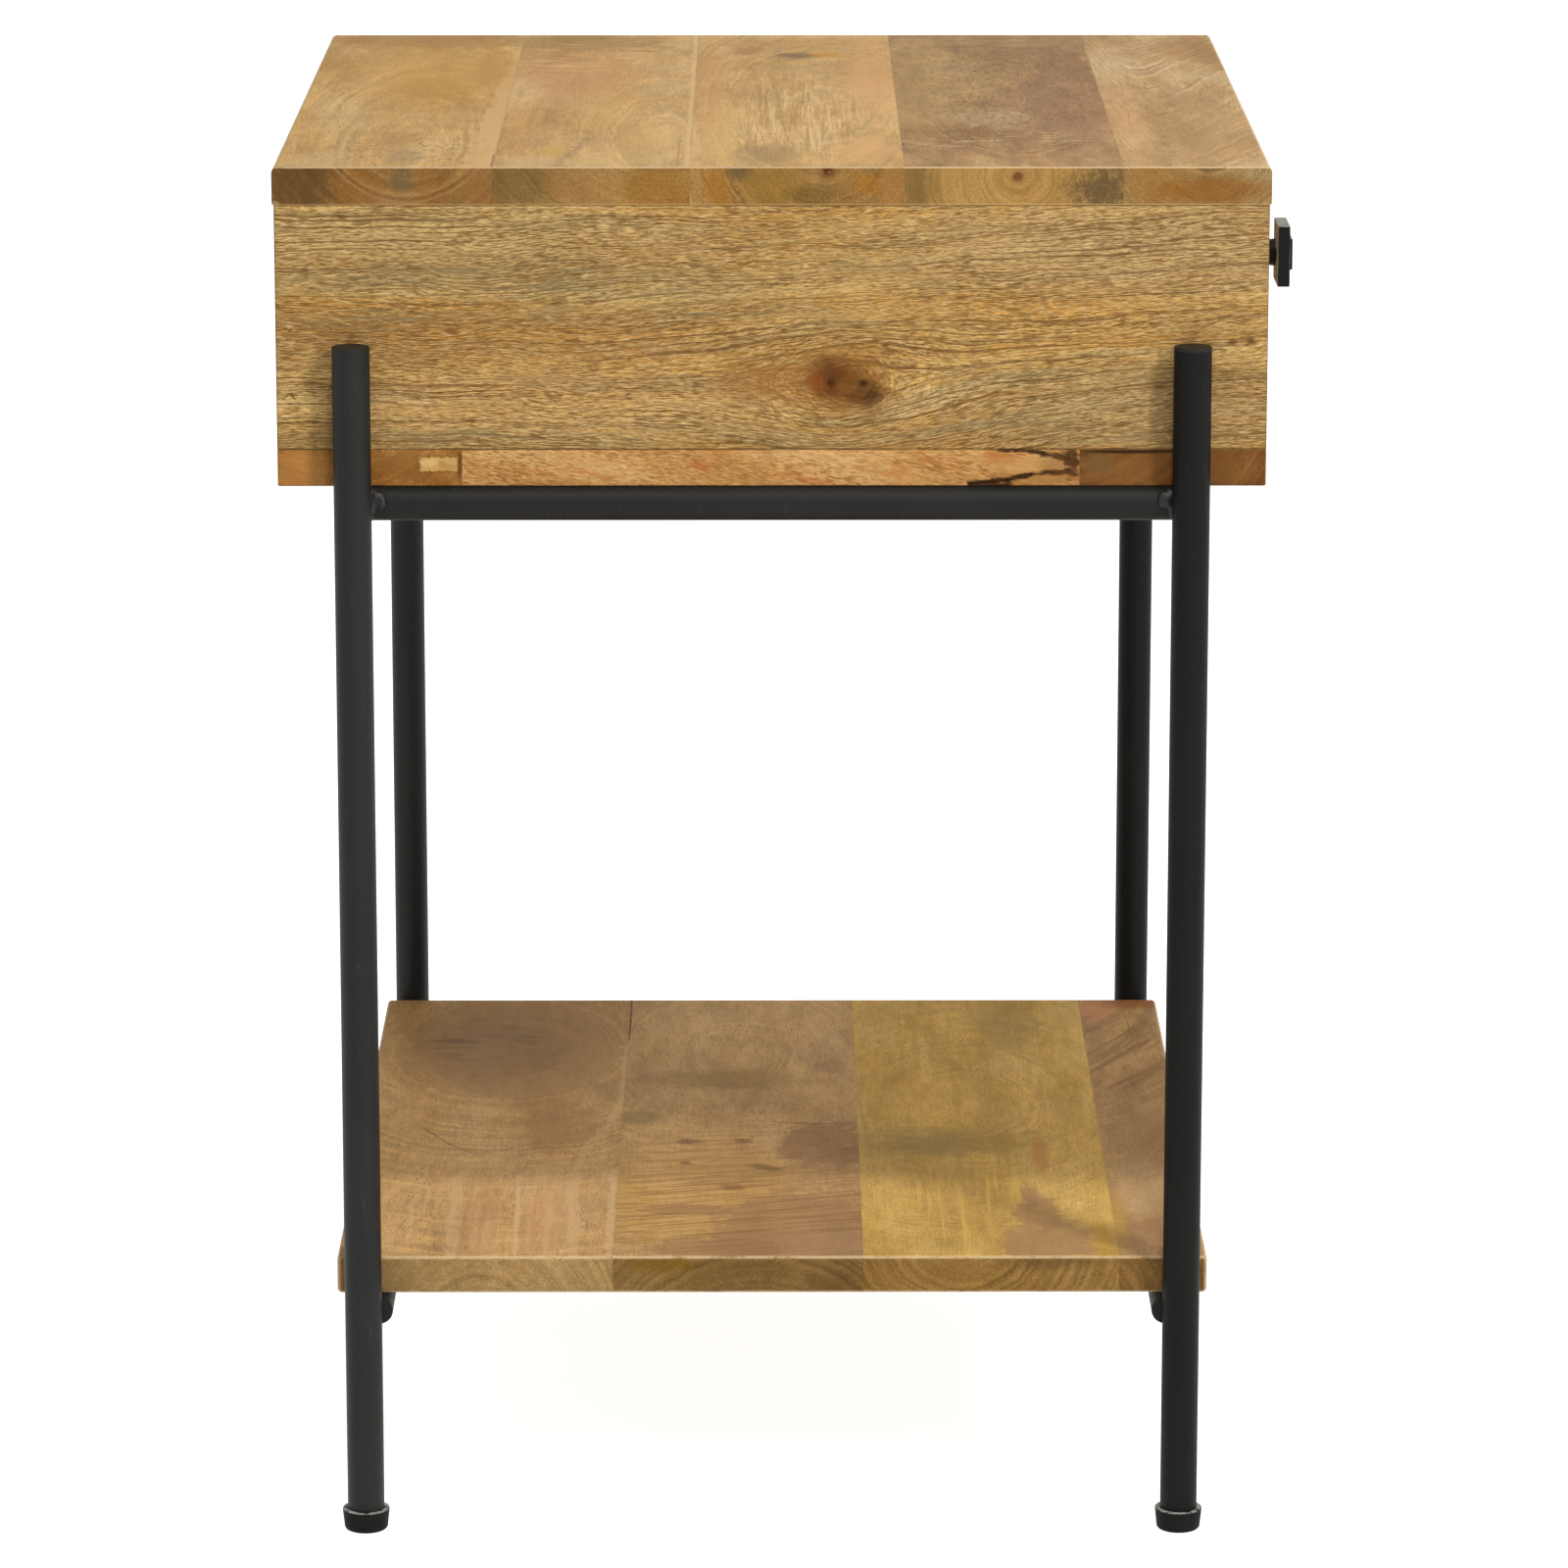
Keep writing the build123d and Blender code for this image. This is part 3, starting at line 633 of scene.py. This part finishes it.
def side_rail(name, seed):
    """A rail from front to back, speckled, whose grain runs off at a slope."""
    rail = Wood(name, seed, "yzx")
    rail.lay_grain(rail.across - rail.along * 0.16)
    rail.sway((90, 20, 20), 3)
    rail.clouds((80, 12, 20), ((180, 127, 68), (198, 147, 86), (212, 166, 106)))
    rail.mottle((26, 5, 8), 0.3)
    rail.mottle((2.4, 0.7, 0.7), 0.9, 2)
    rail.fibres((12, 0.9, 0.9), 0.6)
    rail.pores((3.6, 0.7, 0.7), 0.51, (150, 94, 44), 0.75)
    rail.flecks((4, 0.6, 0.6), 0.55, (232, 186, 126), 0.5)
    return rail


def finish_rail(rail):
    """Closes a rail, whose eased edges are darkened."""
    rail.wax(edge=(110, 76, 40))
    rail.dress()


def plywood(name, seed, node, gloss):
    """A thin plain sheet, pale, with long fine fibres."""
    sheet = Wood(name, seed, "xyz")
    sheet.clouds((200, 30, 30), ((186, 158, 116), (200, 174, 132), (212, 188, 148)))
    sheet.fibres((60, 1.2, 1.2), 0.4)
    sheet.pores((9, 0.6, 0.6), 0.58, pore_brown, 0.4)
    sheet.wax(gloss)
    sheet.dress(node)


# The front rail: brown ends, with a crack along the top of the left one.
rail = frame_rail("bottom_front_rail", 21)
rail.end_rings((-120, 560), 3.0, 1.7)
rail.end_grain((152, 136, 122))
rail.end_patch((-168, 504), (44, 12), (146, 98, 50), 0.6)
rail.end_patch((-136, 507), (7, 6), (118, 92, 52), 0.6, 0.4)
rail.end_patch((-185, 504), (9, 12), (108, 72, 38), 0.4, 0.4)
rail.end_patch((-150, 511.9), (25, 1.3), crack_brown, 0.95, 0.06, both=False)
finish_rail(rail)

# The rear rail: its left end has a hole with a pale filler, ragged round the edge.
rail = frame_rail("bottom_rear_rail", 22)
rail.end_rings((215, 560), 3.0, 1.0)
rail.end_grain((215, 201, 178))
rail.end_patch((228, 503), (14, 9), (198, 140, 76), 0.5)
rail.end_patch((180, 505), (12, 8), (140, 94, 46), 0.5, 0.4)
rail.rag = rail.noise((5, 3.4, 2.6), 4, 0.7) - 0.5
rail.end_patch((164.2, 505.5), (9.8, 3.9), (122, 82, 40), 0.6, 0.20, 0.12, True, both=False)
rail.end_patch((164.5, 505.7), (8.6, 3.2), (210, 166, 98), 0.95, 0.24, 0.10, True, both=False)
rail.end_patch((168.5, 506.6), (4.0, 1.8), (232, 194, 130), 0.6, 0.5, both=False)
rail.end_patch((160.0, 504.4), (4.4, 1.4), (186, 140, 74), 0.7, 0.5, both=False)
rail.end_patch((163.5, 506.2), (1.6, 1.0), (172, 126, 66), 0.6, 0.6, both=False)
rail.end_patch((155.0, 505), (1.2, 7), (92, 60, 28), 0.7, 0.5, 0.4, both=False)
finish_rail(rail)

# The left rail: rusty clouds, and a dark split that runs round a pale tongue at its front end.
rail = side_rail("bottom_left_rail", 23)
rail.stain((30, 8, 20), 0.54, 0.66, (186, 112, 56), 0.55)
rail.patch((-92, 509), (8, 4), (176, 98, 44), 0.55, 0.4)
rail.patch((-108, 505.5), (20, 4), (206, 158, 96), 0.6, 0.3)
rail.patch((-108, 499), (24, 3), (168, 116, 58), 0.7, 0.3)
rail.line([(-90, 512.8), (-98, 512.2), (-110, 510.6), (-121, 508.6)], 1.7, crack_brown, 0.95, 0.4)
rail.line([(-122.5, 509.5), (-124.5, 506), (-123.5, 502.8)], 4.2, (56, 33, 17), 0.9, 0.4)
rail.line([(-122, 502.4), (-105, 501.0), (-94, 498.6), (-77, 496.4)], 1.6, crack_brown, 0.95, 0.4)
rail.line([(-94, 496.2), (-78, 495.6)], 2.8, (52, 31, 16), 0.9, 0.4)
rail.patch((-120, 506), (10, 6), (120, 78, 40), 0.4, 0.4)
finish_rail(rail)

finish_rail(side_rail("bottom_right_rail", 24))

plywood("bottom_plywood", 25, "bottom_panel", 0.6)

# Side panels: one hardwood board each, grain from front to back, open-pored and silvered grey in bands.
# They stand on the bottom frame, dowelled to it and to the top. The left one has a brown knot.


def open_ground(board):
    """The ground of an open-grained board: bands of gold and of grey, drawn out along it."""
    board.clouds((220, 16, 40), ((174, 131, 68), (203, 159, 89), (220, 177, 104), (233, 194, 122)))
    board.stain((130, 8, 24), 0.50, 0.62, (212, 150, 66), 0.55)
    board.stain((120, 7, 24), 0.51, 0.62, (177, 154, 105), 0.55)


def open_grain(board):
    """Open grain: crowded short dark pores, pale fibres between them and a few long dark threads."""
    board.stain((34, 2.6, 8), 0.52, 0.62, (174, 148, 96), 0.40)
    crowd = board.spread(board.noise((70, 9, 14), 3), 0.25, 0.65)
    pale = board.spread(board.noise((9, 0.58, 0.8), 2, 0.6), 0.50, 0.61)
    dark = board.spread(board.noise((8, 0.58, 0.8), 2, 0.6), 0.48, 0.58) * (0.3 + crowd * 0.8)
    fine = board.spread(board.noise((3.4, 0.45, 0.7), 1.5), 0.51, 0.59)
    long = board.spread(board.noise((170, 0.9, 4), 2), 0.58, 0.64)
    board.tint(pale, (236, 200, 140), 0.55)
    board.tint(dark, (118, 79, 35), 0.74)
    board.tint(fine, (100, 70, 34), 0.50)
    board.tint(long, (106, 72, 36), 0.65)
    board.height = pale * 0.08 - dark * 0.12 - fine * 0.06


def open_board(name, seed, lie, lengths, amount):
    """An open-grained board without marks of its own, whose grain sways in these lengths."""
    board = Wood(name, seed, lie)
    board.sway(lengths, amount)
    board.sway((38, 12, 20), 1.6)
    open_ground(board)
    open_grain(board)
    return board


silver_grey = (142, 124, 86)
panel_end = (214, 196, 160)
# Painted shade: the side panels' eased edges are darkened to a thin dark line.
panel_edge_shade = (96, 74, 46)
panel = Wood("side_panel_left", 31, "yzx")
panel.sway((110, 40, 40), 6)
panel.sway((38, 12, 20), 1.6)
panel.lay_grain(panel.grain_across - panel.spread(panel.along, 10, -230) * 18)
knot_middle = (-22, 543)
panel.flow_round(knot_middle, (36, 17))
open_ground(panel)
grey_bands = (((130, 590), (120, 9)), ((60, 577), (80, 7)), ((190, 572), (44, 6)),
              ((-110, 521), (70, 7)), ((140, 517), (96, 6)), ((-120, 548), (56, 5)))
panel.patch((150, 602), (110, 16), (196, 166, 112), 0.55, 0.4)
panel.patch((-150, 604), (110, 20), (214, 182, 128), 0.60, 0.4)
panel.patch((-10, 590), (90, 30), (214, 172, 106), 0.35, 0.4)
panel.patch((140, 564), (110, 14), (192, 136, 67), 0.60, 0.4)
panel.patch((-130, 574), (100, 11), (214, 160, 84), 0.50, 0.4)
panel.patch((-150, 530), (100, 16), (190, 160, 112), 0.55, 0.4)
panel.patch((110, 534), (96, 15), (226, 181, 118), 0.50, 0.4)
for middle, size in grey_bands:
    panel.patch(middle, size, silver_grey, 0.18, 0.5)
open_grain(panel)
for middle, size in grey_bands:
    panel.streaks(middle, size, (34, 1.6, 6), silver_grey, 0.55)
# The knot: rings round it, a rusty tail to the rear, a dark core and three black cracks.
knot = panel.oval(knot_middle, (18, 12), 0.14)
knot_rings = panel.layers(knot, 0.08)
panel.brighten(1 + (knot_rings - 0.5) * panel.spread(knot, 2.8, 1.2) * 1.1)
halo = panel.oval((-10, 543), (31, 17), 0.10)
halo_rings = panel.spread(panel.layers(halo, 0.055), 0.50, 0.40)
panel.tint(halo_rings * panel.spread(halo, 1.5, 1.0), (112, 74, 34), 0.42)
panel.patch((12, 544), (28, 9), (158, 106, 52), 0.55)
panel.patch((-21, 543), (22, 15), (152, 102, 46), 0.62, 0.3)
panel.patch((-19, 543.5), (13, 9), (110, 66, 25), 0.9, 0.35, 0.6)
panel.patch((-12, 546), (7, 8), (94, 55, 24), 0.7, 0.4, 0.6)
panel.patch((-31, 538), (8, 7), (92, 56, 26), 0.75, 0.4, 0.6)
panel.patch((-7.5, 543), (4, 5), (140, 76, 30), 0.6, 0.4)
panel.patch((-21, 541), (5, 2.4), (136, 92, 46), 0.4)
panel.brighten(1 + (knot_rings - 0.5) * panel.spread(knot, 1.4, 0.7) * 0.6)
panel.patch((-13.5, 543.3), (1.7, 1.5), (54, 29, 12), 0.7, 0.6, 0.9)
panel.patch((-28.6, 542.7), (2.1, 1.9), (40, 22, 9), 0.85, 0.6, 0.9)
panel.patch((-32.5, 538), (3.4, 2.4), (66, 38, 17), 0.65, 0.5, 0.8)
# Small dents near the rear edge, and two nail holes near the front one.
dent_brown = (84, 56, 28)
panel.line([(234.9, 535.9), (232.4, 538.4)], 0.45, dent_brown, 0.55, 0.2)
panel.line([(231.4, 537.8), (229.8, 535.8)], 0.6, dent_brown, 0.75, 0.2)
panel.line([(233.4, 568.4), (231.6, 567.2), (230.8, 568.0)], 0.45, dent_brown, 0.6, 0.2)
panel.patch((231.8, 569.0), (1.4, 0.9), (226, 192, 136), 0.6)
for hole in ((-196, 562), (-204, 562.4)):
    panel.patch(hole, (2.2, 1.5), (104, 64, 28), 0.8, 0.5, 0.5)
panel.end_grain(panel_end)
panel.wax(edge=panel_edge_shade)
panel.dress()

panel = open_board("side_panel_right", 32, "yzx", (110, 40, 40), 6)
panel.end_grain(panel_end)
panel.wax(edge=panel_edge_shade)
panel.dress()

# Back panel: one hardwood board, grain from side to side, between the side panels.
# It has the open grain of the sides, without their marks.

panel = open_board("back_panel", 33, "xzy", (120, 40, 40), 7)
panel.wax()
panel.dress()

# Drawer: front, sides, back and a thin plywood bottom, dowelled at the front corners and screwed at the back.
# It slides on two wooden runners and meets two stop blocks. The case's dowels are of the same plain wood.

first_seed = 40
plain_pieces = ("drawer_side_left", "drawer_side_right", "drawer_back", "drawer_runner_left",
                "drawer_runner_right", "drawer_stops", "top_dowels", "bottom_dowels", "drawer_dowels")
for number, name in enumerate(plain_pieces):
    lie = "xzy" if name == "drawer_back" else "yzx"
    inner = Wood(name, first_seed + number, lie)
    inner.sway((110, 30, 30), 4)
    inner.clouds((150, 14, 30), ((180, 146, 98), (196, 164, 114), (210, 180, 132)))
    inner.mottle((40, 5, 8), 0.3)
    inner.fibres((30, 1.2, 1.2), 0.5)
    inner.pores((7, 0.8, 0.8), 0.56, pore_brown, 0.5)
    inner.end_grain((216, 202, 176))
    inner.wax(0.62)
    inner.dress()

plywood("drawer_plywood", 51, "drawer_bottom", 0.62)

front = open_board("drawer_front", 52, "xzy", (120, 40, 40), 7)
front.end_grain(panel_end)
front.wax()
front.dress()

# Top: five hardwood planks of uneven width, glued edge to edge, from side to side, so their end grain shows.
# They are sanded and waxed, pale along the edges with wear and painted highlight, and dowelled down on the
# sides and the back.


def finish_top_plank(plank, end_tone, glue, edge_tint_strength):
    """Closes a plank of the top, with painted highlight lines along both edges of its ends."""
    low, high = [corner.z * mm_per_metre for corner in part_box(plank.name)]
    plank.end_grain(end_tone)
    # Painted highlights: pale lines along the top and bottom edges of the ends.
    plank.end_line(high - 0.7, high, (228, 200, 156), edge_tint_strength)
    plank.end_line(low, low + 0.6, (216, 180, 124), edge_tint_strength * 0.5)
    plank.glue_line(*plank_sides(plank.name), glue_brown, glue)
    plank.wax()
    plank.dress()


# The rear plank: wide arcs, a pale strip of sapwood along its front side, and a dark outer end.
plank = smooth_plank(
    "top_plank_1", 61, (-187, 180, 655), 7.0, ((178, 136, 72), (194, 153, 90), (206, 168, 108)))
pale_side = 153.8 - (plank.along + 236) * 0.028 - plank.across
plank.tint(plank.spread(pale_side + plank.rag * 14, -1.0, 2.0) * (1 - plank.end), (210, 168, 112), 0.8)
plank.line([(-236, 156), (-100, 151.5), (100, 145.5), (220, 141)], 0.8, (150, 112, 60), 0.2)
plank.line([(-236, 139.7), (-196, 139.8)], 0.7, crack_brown, 0.5, 0.3, 0.4)
plank.patch((90, 178), (120, 38), (196, 145, 64), 0.5, 0.4)
plank.patch((109, 150), (60, 9), (180, 128, 60), 0.38)
plank.patch((220, 190), (34, 60), (156, 112, 52), 0.65)
plank.patch((170, 205), (60, 12), (184, 146, 84), 0.3)
plank.patch((-206, 180), (22, 8), (150, 128, 88), 0.5)
plank.patch((-160, 186), (24, 12), (176, 138, 84), 0.4)
plank.patch((-216, 218), (30, 16), (208, 172, 120), 0.5)
plank.streaks((-180, 185), (60, 44), (6, 3, 4), (126, 96, 54), 0.4)
ring_middle = (178, 667)
plank.end_rings(ring_middle, 3.0, 1.0)
plank.end_patch((227, 634), (16, 16), (118, 90, 56), 0.7, 0.6)
plank.end_patch((199, 632), (10, 12), (184, 124, 52), 0.5)
plank.end_patch((180, 637), (5.5, 6), (146, 128, 96), 0.6)
plank.end_patch((167, 634), (8, 8), (186, 128, 56), 0.45)
plank.end_patch((145, 633), (7, 12), (198, 144, 84), 0.5)
end_ring = plank.oval(ring_middle, (1, 1), 0.0, "across deep") + plank.rag * 2
for radius in (38.2, 41.0):
    plank.tint(plank.spread(abs(end_ring - radius), 0.9, 0.3) * plank.end, (224, 182, 122), 0.5)
plank.end_patch((237.6, 625.0), (2.0, 1.3), (228, 200, 156), 0.7, 0.5, 0.4, both=False)
finish_top_plank(plank, (192, 181, 170), 0.25, 0.75)

# The second: pink streaks at the far end, and a thin pale line along its front side.
plank = smooth_plank(
    "top_plank_2", 62, (-150, 64, 655), 6.0, ((178, 136, 78), (194, 152, 93), (207, 170, 112)))
plank.patch((204, 112), (34, 36), (154, 122, 70), 0.65)
plank.patch((60, 112), (80, 26), (206, 154, 102), 0.45)
plank.streaks((146, 104), (60, 32), (9, 34, 8), (222, 168, 108), 0.7)
plank.streaks((120, 118), (40, 20), (7, 26, 8), (150, 104, 60), 0.6)
plank.streaks((190, 70), (40, 22), (9, 24, 8), (176, 128, 62), 0.5)
plank.line([(-236, 112), (-200, 106), (-145, 98)], 4, (146, 118, 74), 0.5)
plank.patch((-186, 114), (16, 8), (196, 156, 66), 0.5)
plank.patch((-218, 124), (20, 16), (204, 170, 124), 0.5)
plank.patch((-150, 70), (60, 16), (206, 166, 98), 0.4)
plank.patch((-60, 92), (60, 12), (206, 164, 92), 0.4)
plank.tint(plank.spread(plank.across, 53.6, 51.6) * (1 - plank.end), (226, 188, 136), 0.55)
plank.line([(-236, 56), (-150, 55.5)], 0.7, (128, 94, 52), 0.3, 0.0, 0.5)
plank.end_rings((60, 690), 2.8, 1.0)
plank.end_patch((128, 634), (16, 12), (136, 110, 66), 0.6)
plank.end_patch((98, 632), (16, 12), (198, 148, 92), 0.45)
plank.end_patch((64, 630), (16, 14), (190, 134, 54), 0.6)
finish_top_plank(plank, (205, 198, 180), 0.3, 0.8)

# The third: pale, with scratchy arcs, a dark fleck at the far end and a small knot in its end.
plank = smooth_plank(
    "top_plank_3", 63, (-40, -12, 652), 5.0, ((182, 142, 84), (200, 160, 100), (212, 174, 116)), 1.3)
plank.streaks((-60, 8), (150, 34), (60, 2.0, 6), (164, 126, 66), 0.65)
plank.streaks((-90, -2), (110, 30), (50, 1.5, 6), (230, 198, 142), 0.65)
plank.patch((0, 43), (220, 6), (200, 148, 88), 0.5)
plank.patch((-120, 34), (120, 7), (214, 178, 104), 0.4)
plank.patch((-194, 16), (28, 14), (152, 122, 82), 0.6, 0.6, 0.6)
plank.patch((172, 25), (18, 7), (156, 104, 52), 0.6)
plank.patch((153, -1), (9, 11), (116, 90, 56), 0.75)
plank.patch((157, -14), (12, 8), (196, 142, 48), 0.65)
plank.patch((200, 0), (20, 40), (178, 134, 72), 0.5)
plank.patch((70, -36), (130, 11), (218, 166, 108), 0.65)
plank.patch((-190, -32), (50, 14), (216, 168, 110), 0.6)
plank.end_rings((-10, 655), 2.6, 1.1)
plank.end_patch((38, 632), (6, 12), (196, 136, 46), 0.6)
plank.end_patch((28, 640), (5, 4), (116, 104, 80), 0.7)
plank.end_patch((12, 633), (14, 10), (176, 140, 62), 0.5)
plank.end_patch((-6, 629), (10, 5), (118, 92, 46), 0.5)
plank.end_patch((-30, 634), (5.5, 4.5), (206, 138, 40), 0.5, 0.5, 0.6)
plank.end_patch((-42, 633), (6, 12), (216, 160, 98), 0.55)
plank.end_patch((-12.5, 639.6), (4.6, 3.0), (132, 84, 44), 0.55, 0.5)
plank.end_patch((-12.5, 640.0), (2.1, 1.7), (96, 50, 28), 0.8, 0.5, 0.6)
plank.end_patch((-13.0, 639.4), (0.8, 0.6), (176, 140, 100), 0.7)
finish_top_plank(plank, (208, 199, 183), 0.2, 0.8)

# The fourth: brown and cloudy, scratched pale, with the heart of the tree and a dark blot in its end.
plank = smooth_plank(
    "top_plank_4", 64, (20, -98, 654), 5.0, ((144, 106, 64), (164, 126, 80), (180, 144, 96)), 1.4)
plank.patch((60, -70), (120, 26), (166, 132, 80), 0.5)
plank.patch((-40, -118), (90, 24), (160, 120, 84), 0.5)
plank.patch((180, -110), (46, 44), (144, 110, 66), 0.6)
plank.patch((120, -132), (60, 12), (136, 98, 62), 0.5)
plank.patch((-20, -130), (200, 16), (142, 104, 72), 0.45)
plank.patch((40, -60), (190, 14), (182, 146, 94), 0.45)
plank.streaks((200, -90), (34, 46), (8, 40, 8), (186, 152, 104), 0.5)
plank.mottle((44, 14, 14), 0.8)
plank.mottle((14, 5, 5), 0.4)
plank.streaks((-156, -70), (22, 24), (3.4, 8, 5), (210, 182, 140), 0.55)
plank.patch((-80, -90), (30, 18), (186, 158, 116), 0.45)
plank.streaks((-80, -94), (36, 22), (6, 7, 6), (200, 172, 130), 0.55)
plank.streaks((-140, -114), (24, 26), (3.4, 9, 5), (210, 182, 140), 0.5)
plank.streaks((-200, -80), (30, 30), (6, 22, 8), (178, 122, 72), 0.5)
plank.streaks((20, -100), (190, 50), (8, 2.4, 5), (112, 82, 50), 0.5)
plank.end_patch((-96, 633), (70, 40), (204, 158, 86), 0.7, 0.1)
heart = (-98.3, 637.7)
plank.end_rings(heart, 2.4, 0.7)
plank.end_patch((-55, 633), (9, 14), (150, 118, 60), 0.5)
heart_shells = ((9.5, (150, 108, 52)), (7.4, (220, 178, 106)), (5.2, (166, 120, 60)))
for size, colour in heart_shells:
    plank.end_patch(heart, (size, size * 0.8), colour, 0.45, 0.15, 0.25)
plank.end_patch((-98.0, 637.5), (2.6, 2.0), (112, 62, 28), 0.8, 0.5, 0.5)
plank.rag = plank.noise((6, 3, 3), 4, 0.7) - 0.5
plank.end_patch((-137, 632), (13, 11), (84, 74, 52), 0.75, 0.8, 0.8, both=False)
plank.end_patch((-52, 633), (5, 14), (116, 92, 48), 0.5, 0.5)
finish_top_plank(plank, (231, 230, 230), 0.15, 0.85)

# The front plank: chevrons that lean towards its far end.
plank = smooth_plank(
    "top_plank_5", 65, (110, -182, 646), 9.0, ((168, 130, 84), (192, 154, 104), (208, 174, 127)), 0.3)
bend = plank.across + 162 + plank.rag * 5
arm = (bend * bend + 50) ** 0.5
drift = (plank.noise((120, 26, 30), 3) - 0.5) * 40
chevrons = plank.layers(plank.along - arm * 7.8 - bend * 4.8 + drift, 10)
faint = plank.spread(plank.noise((70, 16, 20), 3), 0.30, 0.65)
plank.brighten(1 + (chevrons - 0.5) * (1 - plank.end) * faint * 1.5)
plank.patch((172, -196), (54, 20), (164, 120, 70), 0.5)
plank.patch((-130, -190), (110, 20), (178, 140, 86), 0.45)
plank.patch((-100, -155), (120, 8), (216, 170, 114), 0.55)
plank.streaks((-30, -176), (150, 30), (30, 3, 8), (152, 114, 66), 0.3)
plank.end_rings((-184, 655), 2.8, 1.1)
plank.end_patch((-160, 633), (14, 14), (212, 156, 86), 0.5)
plank.end_patch((-187, 631), (24, 6), (176, 112, 44), 0.7, 0.25)
finish_top_plank(plank, (205, 202, 186), 0.15, 0.9)

# Knob: a square iron plate with a raised boss on a round stem, screwed on from inside the drawer.
# It is blackened iron, rubbed bright on the top and the edges of the plate, and painted pale on the back of
# the plate as a reflection.

iron = Finish("blackened_knob_iron", 8)
knob_cloud = iron.noise((9, 9, 9), 4, 0.6)
knob_grit = iron.noise((0.8, 0.8, 0.8), 2)
knob_flat = [abs(part) for part in iron.facing]
knob_edge = iron.spread(knob_flat[0].over(knob_flat[1]).over(knob_flat[2]), 0.98, 0.86)
plate_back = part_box("knob_plate")[1].y * mm_per_metre
on_plate = iron.spread(iron.split(iron.place)[1], plate_back + 0.6, plate_back + 0.2)
knob_worn = iron.spread(iron.facing[2], 0.2, 0.9) * iron.spread(knob_cloud, 0.36, 0.52)
# Painted reflection: the plate's back face, which faces the drawer front, made pale.
knob_back_reflection = iron.spread(iron.facing[1], 0.5, 0.9) * iron.spread(knob_cloud, 0.30, 0.46)
iron.colour = iron.mix(iron.spread(knob_cloud, 0.35, 0.65), (11, 11, 10), (19, 18, 17))
iron.tint(knob_worn * on_plate, (170, 167, 160), 0.7)
iron.tint(knob_back_reflection * on_plate, (214, 210, 202), 0.8)
iron.tint(knob_edge * on_plate * iron.spread(knob_cloud, 0.40, 0.60), (140, 136, 130), 0.5)
iron.height = knob_grit * 0.05 + knob_cloud * 0.15
iron.close(0.45 + knob_cloud * 0.2, Specular_IOR_Level=0.16)
iron.dress("knob_plate", "knob_stem")

# Studio: a plain white floor and soft light all round. A small lamp high up on the camera's side throws the
# case's shadow on the shelf, and one from the right throws those of the legs on the case.


def background_rays(nodes):
    """1 for rays that should see the studio as plain white: the camera's, and those off gloss and
    through glass."""
    kinds = ("Is Camera Ray", "Is Glossy Ray", "Is Transmission Ray")
    camera_ray, glossy_ray, clear_ray = [nodes.node("LightPath", {}, {}, kind) for kind in kinds]
    return camera_ray.over(glossy_ray).over(clear_ray)


floor_size = 40.0
floor_grey = 0.9
floor_light = 0.86
floor_paint = bpy.data.materials.new("studio_floor")
floor_paint.use_nodes = True
floor_paint.node_tree.nodes.clear()
floor_nodes = Nodes(floor_paint.node_tree)
floor_matt = floor_nodes.node("BsdfDiffuse", {}, {"Color": (floor_grey, floor_grey, floor_grey, 1)})
floor_strength = background_rays(floor_nodes) * floor_light
floor_glow = floor_nodes.node("Emission", {}, {"Strength": floor_strength})
floor_both = floor_nodes.node("AddShader", {}, {0: floor_matt, 1: floor_glow})
floor_nodes.node("OutputMaterial", {}, {"Surface": floor_both})
bpy.ops.object.select_all(action="DESELECT")
bpy.ops.mesh.primitive_plane_add(size=floor_size, location=(0, 0, 0))
floor = bpy.context.object
floor.name = "studio_floor"
floor.data.materials.append(floor_paint)

sky_light = 0.36
world = bpy.data.worlds.new("studio")
bpy.context.scene.world = world
world.use_nodes = True
world.node_tree.nodes.clear()
sky_nodes = Nodes(world.node_tree)
sky_strength = sky_light + background_rays(sky_nodes) * (1 - sky_light)
sky = sky_nodes.node("Background", {}, {"Color": (1, 1, 1, 1), "Strength": sky_strength})
sky_nodes.node("OutputWorld", {}, {"Surface": sky})


def soft_lamp(name, place, aim, size, power):
    """A square lamp that shines at a point."""
    data = bpy.data.lights.new(name, "AREA")
    data.size = size
    data.energy = power
    lamp = bpy.data.objects.new(name, data)
    bpy.context.scene.collection.objects.link(lamp)
    lamp.location = place
    away = lamp.location - Vector(aim)
    lamp.rotation_euler = away.to_track_quat("Z", "Y").to_euler()


soft_lamp("overhead_lamp", place=(-1.55, -0.2, 4.0), aim=(0, 0, 0.4), size=0.26, power=48)
soft_lamp("right_lamp", place=(-2.7, -2.07, 2.6), aim=(0, 0, 0.45), size=0.6, power=72)

# Camera: at the photograph's place, before the table's left side and looking a little down.
# It is a plain camera, without shift or blur.

camera_tilt = 0.228487
camera_turn = 0.002132
camera_data = bpy.data.cameras.new("camera")
camera = bpy.data.objects.new("camera", camera_data)
bpy.context.scene.collection.objects.link(camera)
camera.location = (-3.50117, 0.01455, 1.11582)
camera.rotation_euler = (math.pi / 2 - camera_tilt, 0, -math.pi / 2 - camera_turn)
camera_data.sensor_width = 36.0
camera_data.lens = 167.47
bpy.context.scene.camera = camera
bpy.context.scene.view_settings.view_transform = "Standard"
